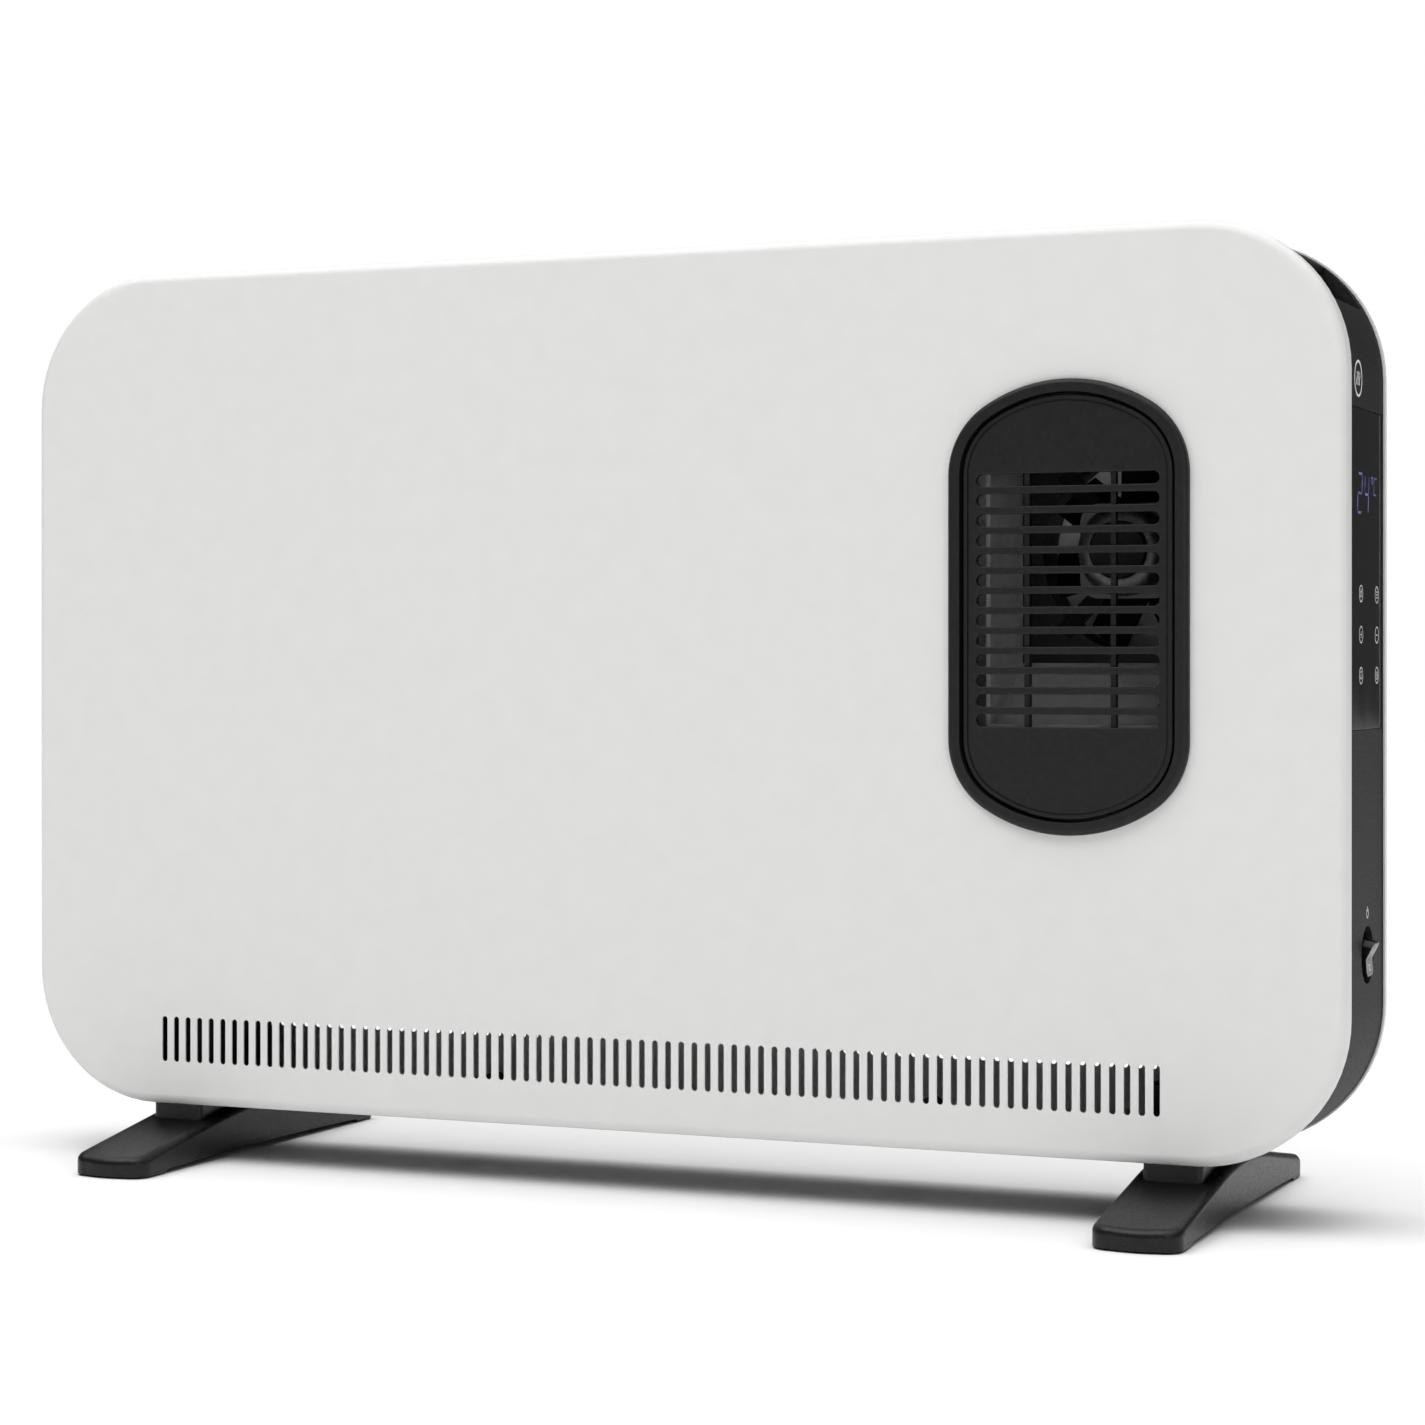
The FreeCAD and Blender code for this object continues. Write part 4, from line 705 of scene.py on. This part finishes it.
def figure(digit, u0, v0):
    """Strokes of one figure whose lower left corner is at u0, v0."""
    strokes = []
    for start, end in lit_lines[digit]:
        ends = []
        for name, other in ((start, end), (end, start)):
            u, v = (corners[name][k] * (FIGURE_WIDTH, FIGURE_HEIGHT)[k] for k in (0, 1))
            far_u, far_v = (corners[other][k] * (FIGURE_WIDTH, FIGURE_HEIGHT)[k] for k in (0, 1))
            reach = math.hypot(far_u - u, far_v - v)
            u += (far_u - u) / reach * SEGMENT * 0.6
            v += (far_v - v) / reach * SEGMENT * 0.6
            ends.append((u0 + u + v * LEAN, v0 + v))
        strokes.append((ends, SEGMENT))
    return strokes


digits = figure("2", 0.0, 0.0) + figure("4", FIGURE_PITCH, 0.0)
digits.append((arc(DEGREE_RADIUS, 0, 360, *DEGREE_PLACE, 20), DEGREE_LINE))
digits.append(([(42.0, 16.8), (37.0, 16.8), (36.0, 9.2), (41.0, 9.2)], SMALL_SEGMENT))
display_face = on_face(LENS_X, DISPLAY_DEPTH, DISPLAY_HEIGHT)
printed("display_figures", digits, display_face, lit, "case")

# %% [markdown]
# ## Marks on the band
# Higher up the band carries a round printed mark, here a plain ring with three rising
# lines for warm air. Over the switch is the usual standby sign. Both lie on the band's
# flat outer face, so the X comes from the end frame's solid.

# %% Warm-air ring and standby sign
BAND_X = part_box("right_end_frame")[1].x
RING_RADIUS = 7.8
WARM_AIR_PLACE, STANDBY_PLACE = (32.0, 354.0), (52.0, 112.5)
wave = [(0.8 * math.sin(math.radians(v * 60)), v) for v in (-3.0, -2, -1, 0, 1, 2, 3.0)]
strokes = [(arc(RING_RADIUS, 0, 360, steps=48), 1.1)]
strokes += [([(u + shift, v) for u, v in wave], 0.9) for shift in (-2.8, 0.0, 2.8)]
printed("warm_air_mark", strokes, on_face(BAND_X, *WARM_AIR_PLACE), ink, "case")
strokes = [(arc(2.1, 125, 415), 0.6), ([(0, 0.6), (0, 3.0)], 0.6)]
printed("standby_mark", strokes, on_face(BAND_X, *STANDBY_PLACE), ink, "case")

# %% [markdown]
# ## Rocker signs
# The rocker's face is hollow: two flats that meet in a shallow valley, tipped with the
# switch. A line marks the on side and a ring the off side. The signs are drawn on each
# flat and then turned with the rocker about its pivot, which the joint gives.

# %% Line and ring on the rocker
pivot = Vector(next(j["pos_m"] for j in frame["joints"] if j["name"] == "rocker_tilt"))
ROCKER_TILT = math.radians(12)
VALLEY, RISE = 7.8, math.atan2(2.3, 8.2)
SIGN_REACH, SIGN_SIZE, SIGN_WIDTH = 4.2, 1.3, 0.5


def on_rocker(side, reach):
    """A lay function for the upper (1) or lower (-1) flat, this far from the valley."""
    def lay(u, v, lift):
        along = reach + side * v
        x = VALLEY + along * math.sin(RISE) + lift * math.cos(RISE)
        z = side * (along * math.cos(RISE) - lift * math.sin(RISE))
        point = Matrix.Rotation(ROCKER_TILT, 3, "Y") @ Vector((x, u, z))
        return pivot + point * MM
    return lay


line = [([(0, -SIGN_SIZE), (0, SIGN_SIZE)], SIGN_WIDTH)]
ring = [(arc(SIGN_SIZE, 0, 360), SIGN_WIDTH)]
printed("rocker_line", line, on_rocker(1, SIGN_REACH), ink, "rocker")
printed("rocker_ring", ring, on_rocker(-1, SIGN_REACH), ink, "rocker")

# %% [markdown]
# ## Contact springs
# Behind each key a small coil spring carries the touch to the board. The solid is only a
# sleeve, so a real coil replaces it: a helix of spring wire with closed end turns. A helix
# is one formula, and a bevelled curve turns it into wire of an even thickness.


# %% Spring coils
def spring_coil(x0, x1, radius, wire, turns):
    """Points of a helix along X whose first and last turns lie almost flat."""
    points, steps = [], 20
    for k in range(turns * steps + 1):
        part = k / (turns * steps)
        smooth = part * part * (3 - 2 * part)
        turn = 2 * math.pi * k / steps
        x = x0 + wire + (x1 - x0 - 2 * wire) * smooth
        points.append((x, radius * math.cos(turn), radius * math.sin(turn)))
    return points


spring_low, spring_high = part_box("touch_springs")
SPRING_WIRE, SPRING_RADIUS, SPRING_TURNS = 0.3 * MM, 2.7 * MM, 6
curve = bpy.data.curves.new("contact_springs", "CURVE")
curve.dimensions = "3D"
curve.bevel_depth = SPRING_WIRE
curve.bevel_resolution = 3
for depth, height in places:
    helix = spring_coil(spring_low.x, spring_high.x, SPRING_RADIUS, SPRING_WIRE, SPRING_TURNS)
    line = curve.splines.new("POLY")
    line.points.add(len(helix) - 1)
    for point, (x, y, z) in zip(line.points, helix):
        point.co = (x, depth_y(depth) + y, height_z(height) + z, 1.0)
curve.use_fill_caps = True
curve.materials.append(finishes["brass_terminal"])
springs = bpy.data.objects.new("contact_springs", curve)
bpy.context.scene.collection.objects.link(springs)
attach(springs, "case")
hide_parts("touch_springs")
print(len(curve.splines), "springs of", SPRING_TURNS, "turns")

# %% [markdown]
# ## Floor
# A pale, plain floor gives the feet something to stand on, like a roll of studio paper.
# It is a large disc, so its edge never shows.

# %% Floor
FLOOR_RADIUS, FLOOR_DROP = 9.0, 0.0002
floor_mesh = bmesh.new()
bmesh.ops.create_circle(floor_mesh, cap_ends=True, radius=FLOOR_RADIUS, segments=96)
floor_data = bpy.data.meshes.new("floor")
floor_mesh.to_mesh(floor_data)
floor_mesh.free()
floor = bpy.data.objects.new("floor", floor_data)
floor.location = (0, 0, cad_low.z - FLOOR_DROP)
bpy.context.scene.collection.objects.link(floor)
paper, tree, shader = start_finish("matte_paper", "F4F4F4", 0.9, IOR=1.45)
place = add(tree, "ShaderNodeTexCoord").outputs["Object"]
mottle(tree, shader, place, 400.0, ("F3F3F3", "F5F5F5"))
floor_data.materials.append(paper)
print("floor at z", round(floor.location.z, 4))

# %% [markdown]
# ## Light
# White goods are lit with care: a large soft source above, so that a satin panel goes
# evenly from light to slightly less light, and darkness at eye level, so that the black
# parts and the gloss panel stay black. A lit ceiling would need a wide room; a world that
# is bright overhead and dark at the horizon gives the same light with nothing to build.
# The world is seen as plain white, but lights the scene by that dome. Two softboxes, one
# high in front and one towards the control end, model the front face and the band.


# %% Dome and softboxes
def softbox(name, place, aim, size, power):
    """A rectangular area light at a place, pointing at another."""
    light = bpy.data.lights.new(name, "AREA")
    light.shape = "RECTANGLE"
    light.size, light.size_y = size
    light.energy = power
    holder = bpy.data.objects.new(name, light)
    bpy.context.scene.collection.objects.link(holder)
    holder.location = place
    holder.rotation_euler = (Vector(aim) - Vector(place)).to_track_quat("-Z", "Y").to_euler()
    print(name, power, "W")


middle = (cad_low + cad_high) / 2
softbox("front_softbox", (-0.4, -1.0, 1.7), middle, (1.6, 0.8), 8.8)
softbox("side_softbox", (1.4, -1.5, 0.7), middle, (0.8, 0.8), 3.4)
world = bpy.data.worlds.new("studio")
bpy.context.scene.world = world
world.use_nodes = True
tree = world.node_tree
tree.nodes.clear()
ray = add(tree, "ShaderNodeLightPath")
shown = add(tree, "ShaderNodeBackground", {"Color": linear("FFFFFF"), "Strength": 1.0})
direction = add(tree, "ShaderNodeTexCoord").outputs["Generated"]
height = add(tree, "ShaderNodeSeparateXYZ", {}, {"Vector": direction}).outputs["Z"]
dome = add(tree, "ShaderNodeMapRange", {
    "interpolation_type": "SMOOTHSTEP", "From Min": 0.5, "From Max": 1.0, "To Min": 0.1, "To Max": 2.6,
}, {"Value": height})
room = add(tree, "ShaderNodeBackground", {"Color": linear("FFFFFF")}, {"Strength": dome.outputs["Result"]})
both = add(tree, "ShaderNodeMixShader", {}, {
    0: ray.outputs["Is Camera Ray"], 1: room.outputs["Background"], 2: shown.outputs["Background"],
})
add(tree, "ShaderNodeOutputWorld", {}, {"Surface": both.outputs["Shader"]})
bpy.context.scene.view_settings.view_transform = "Standard"
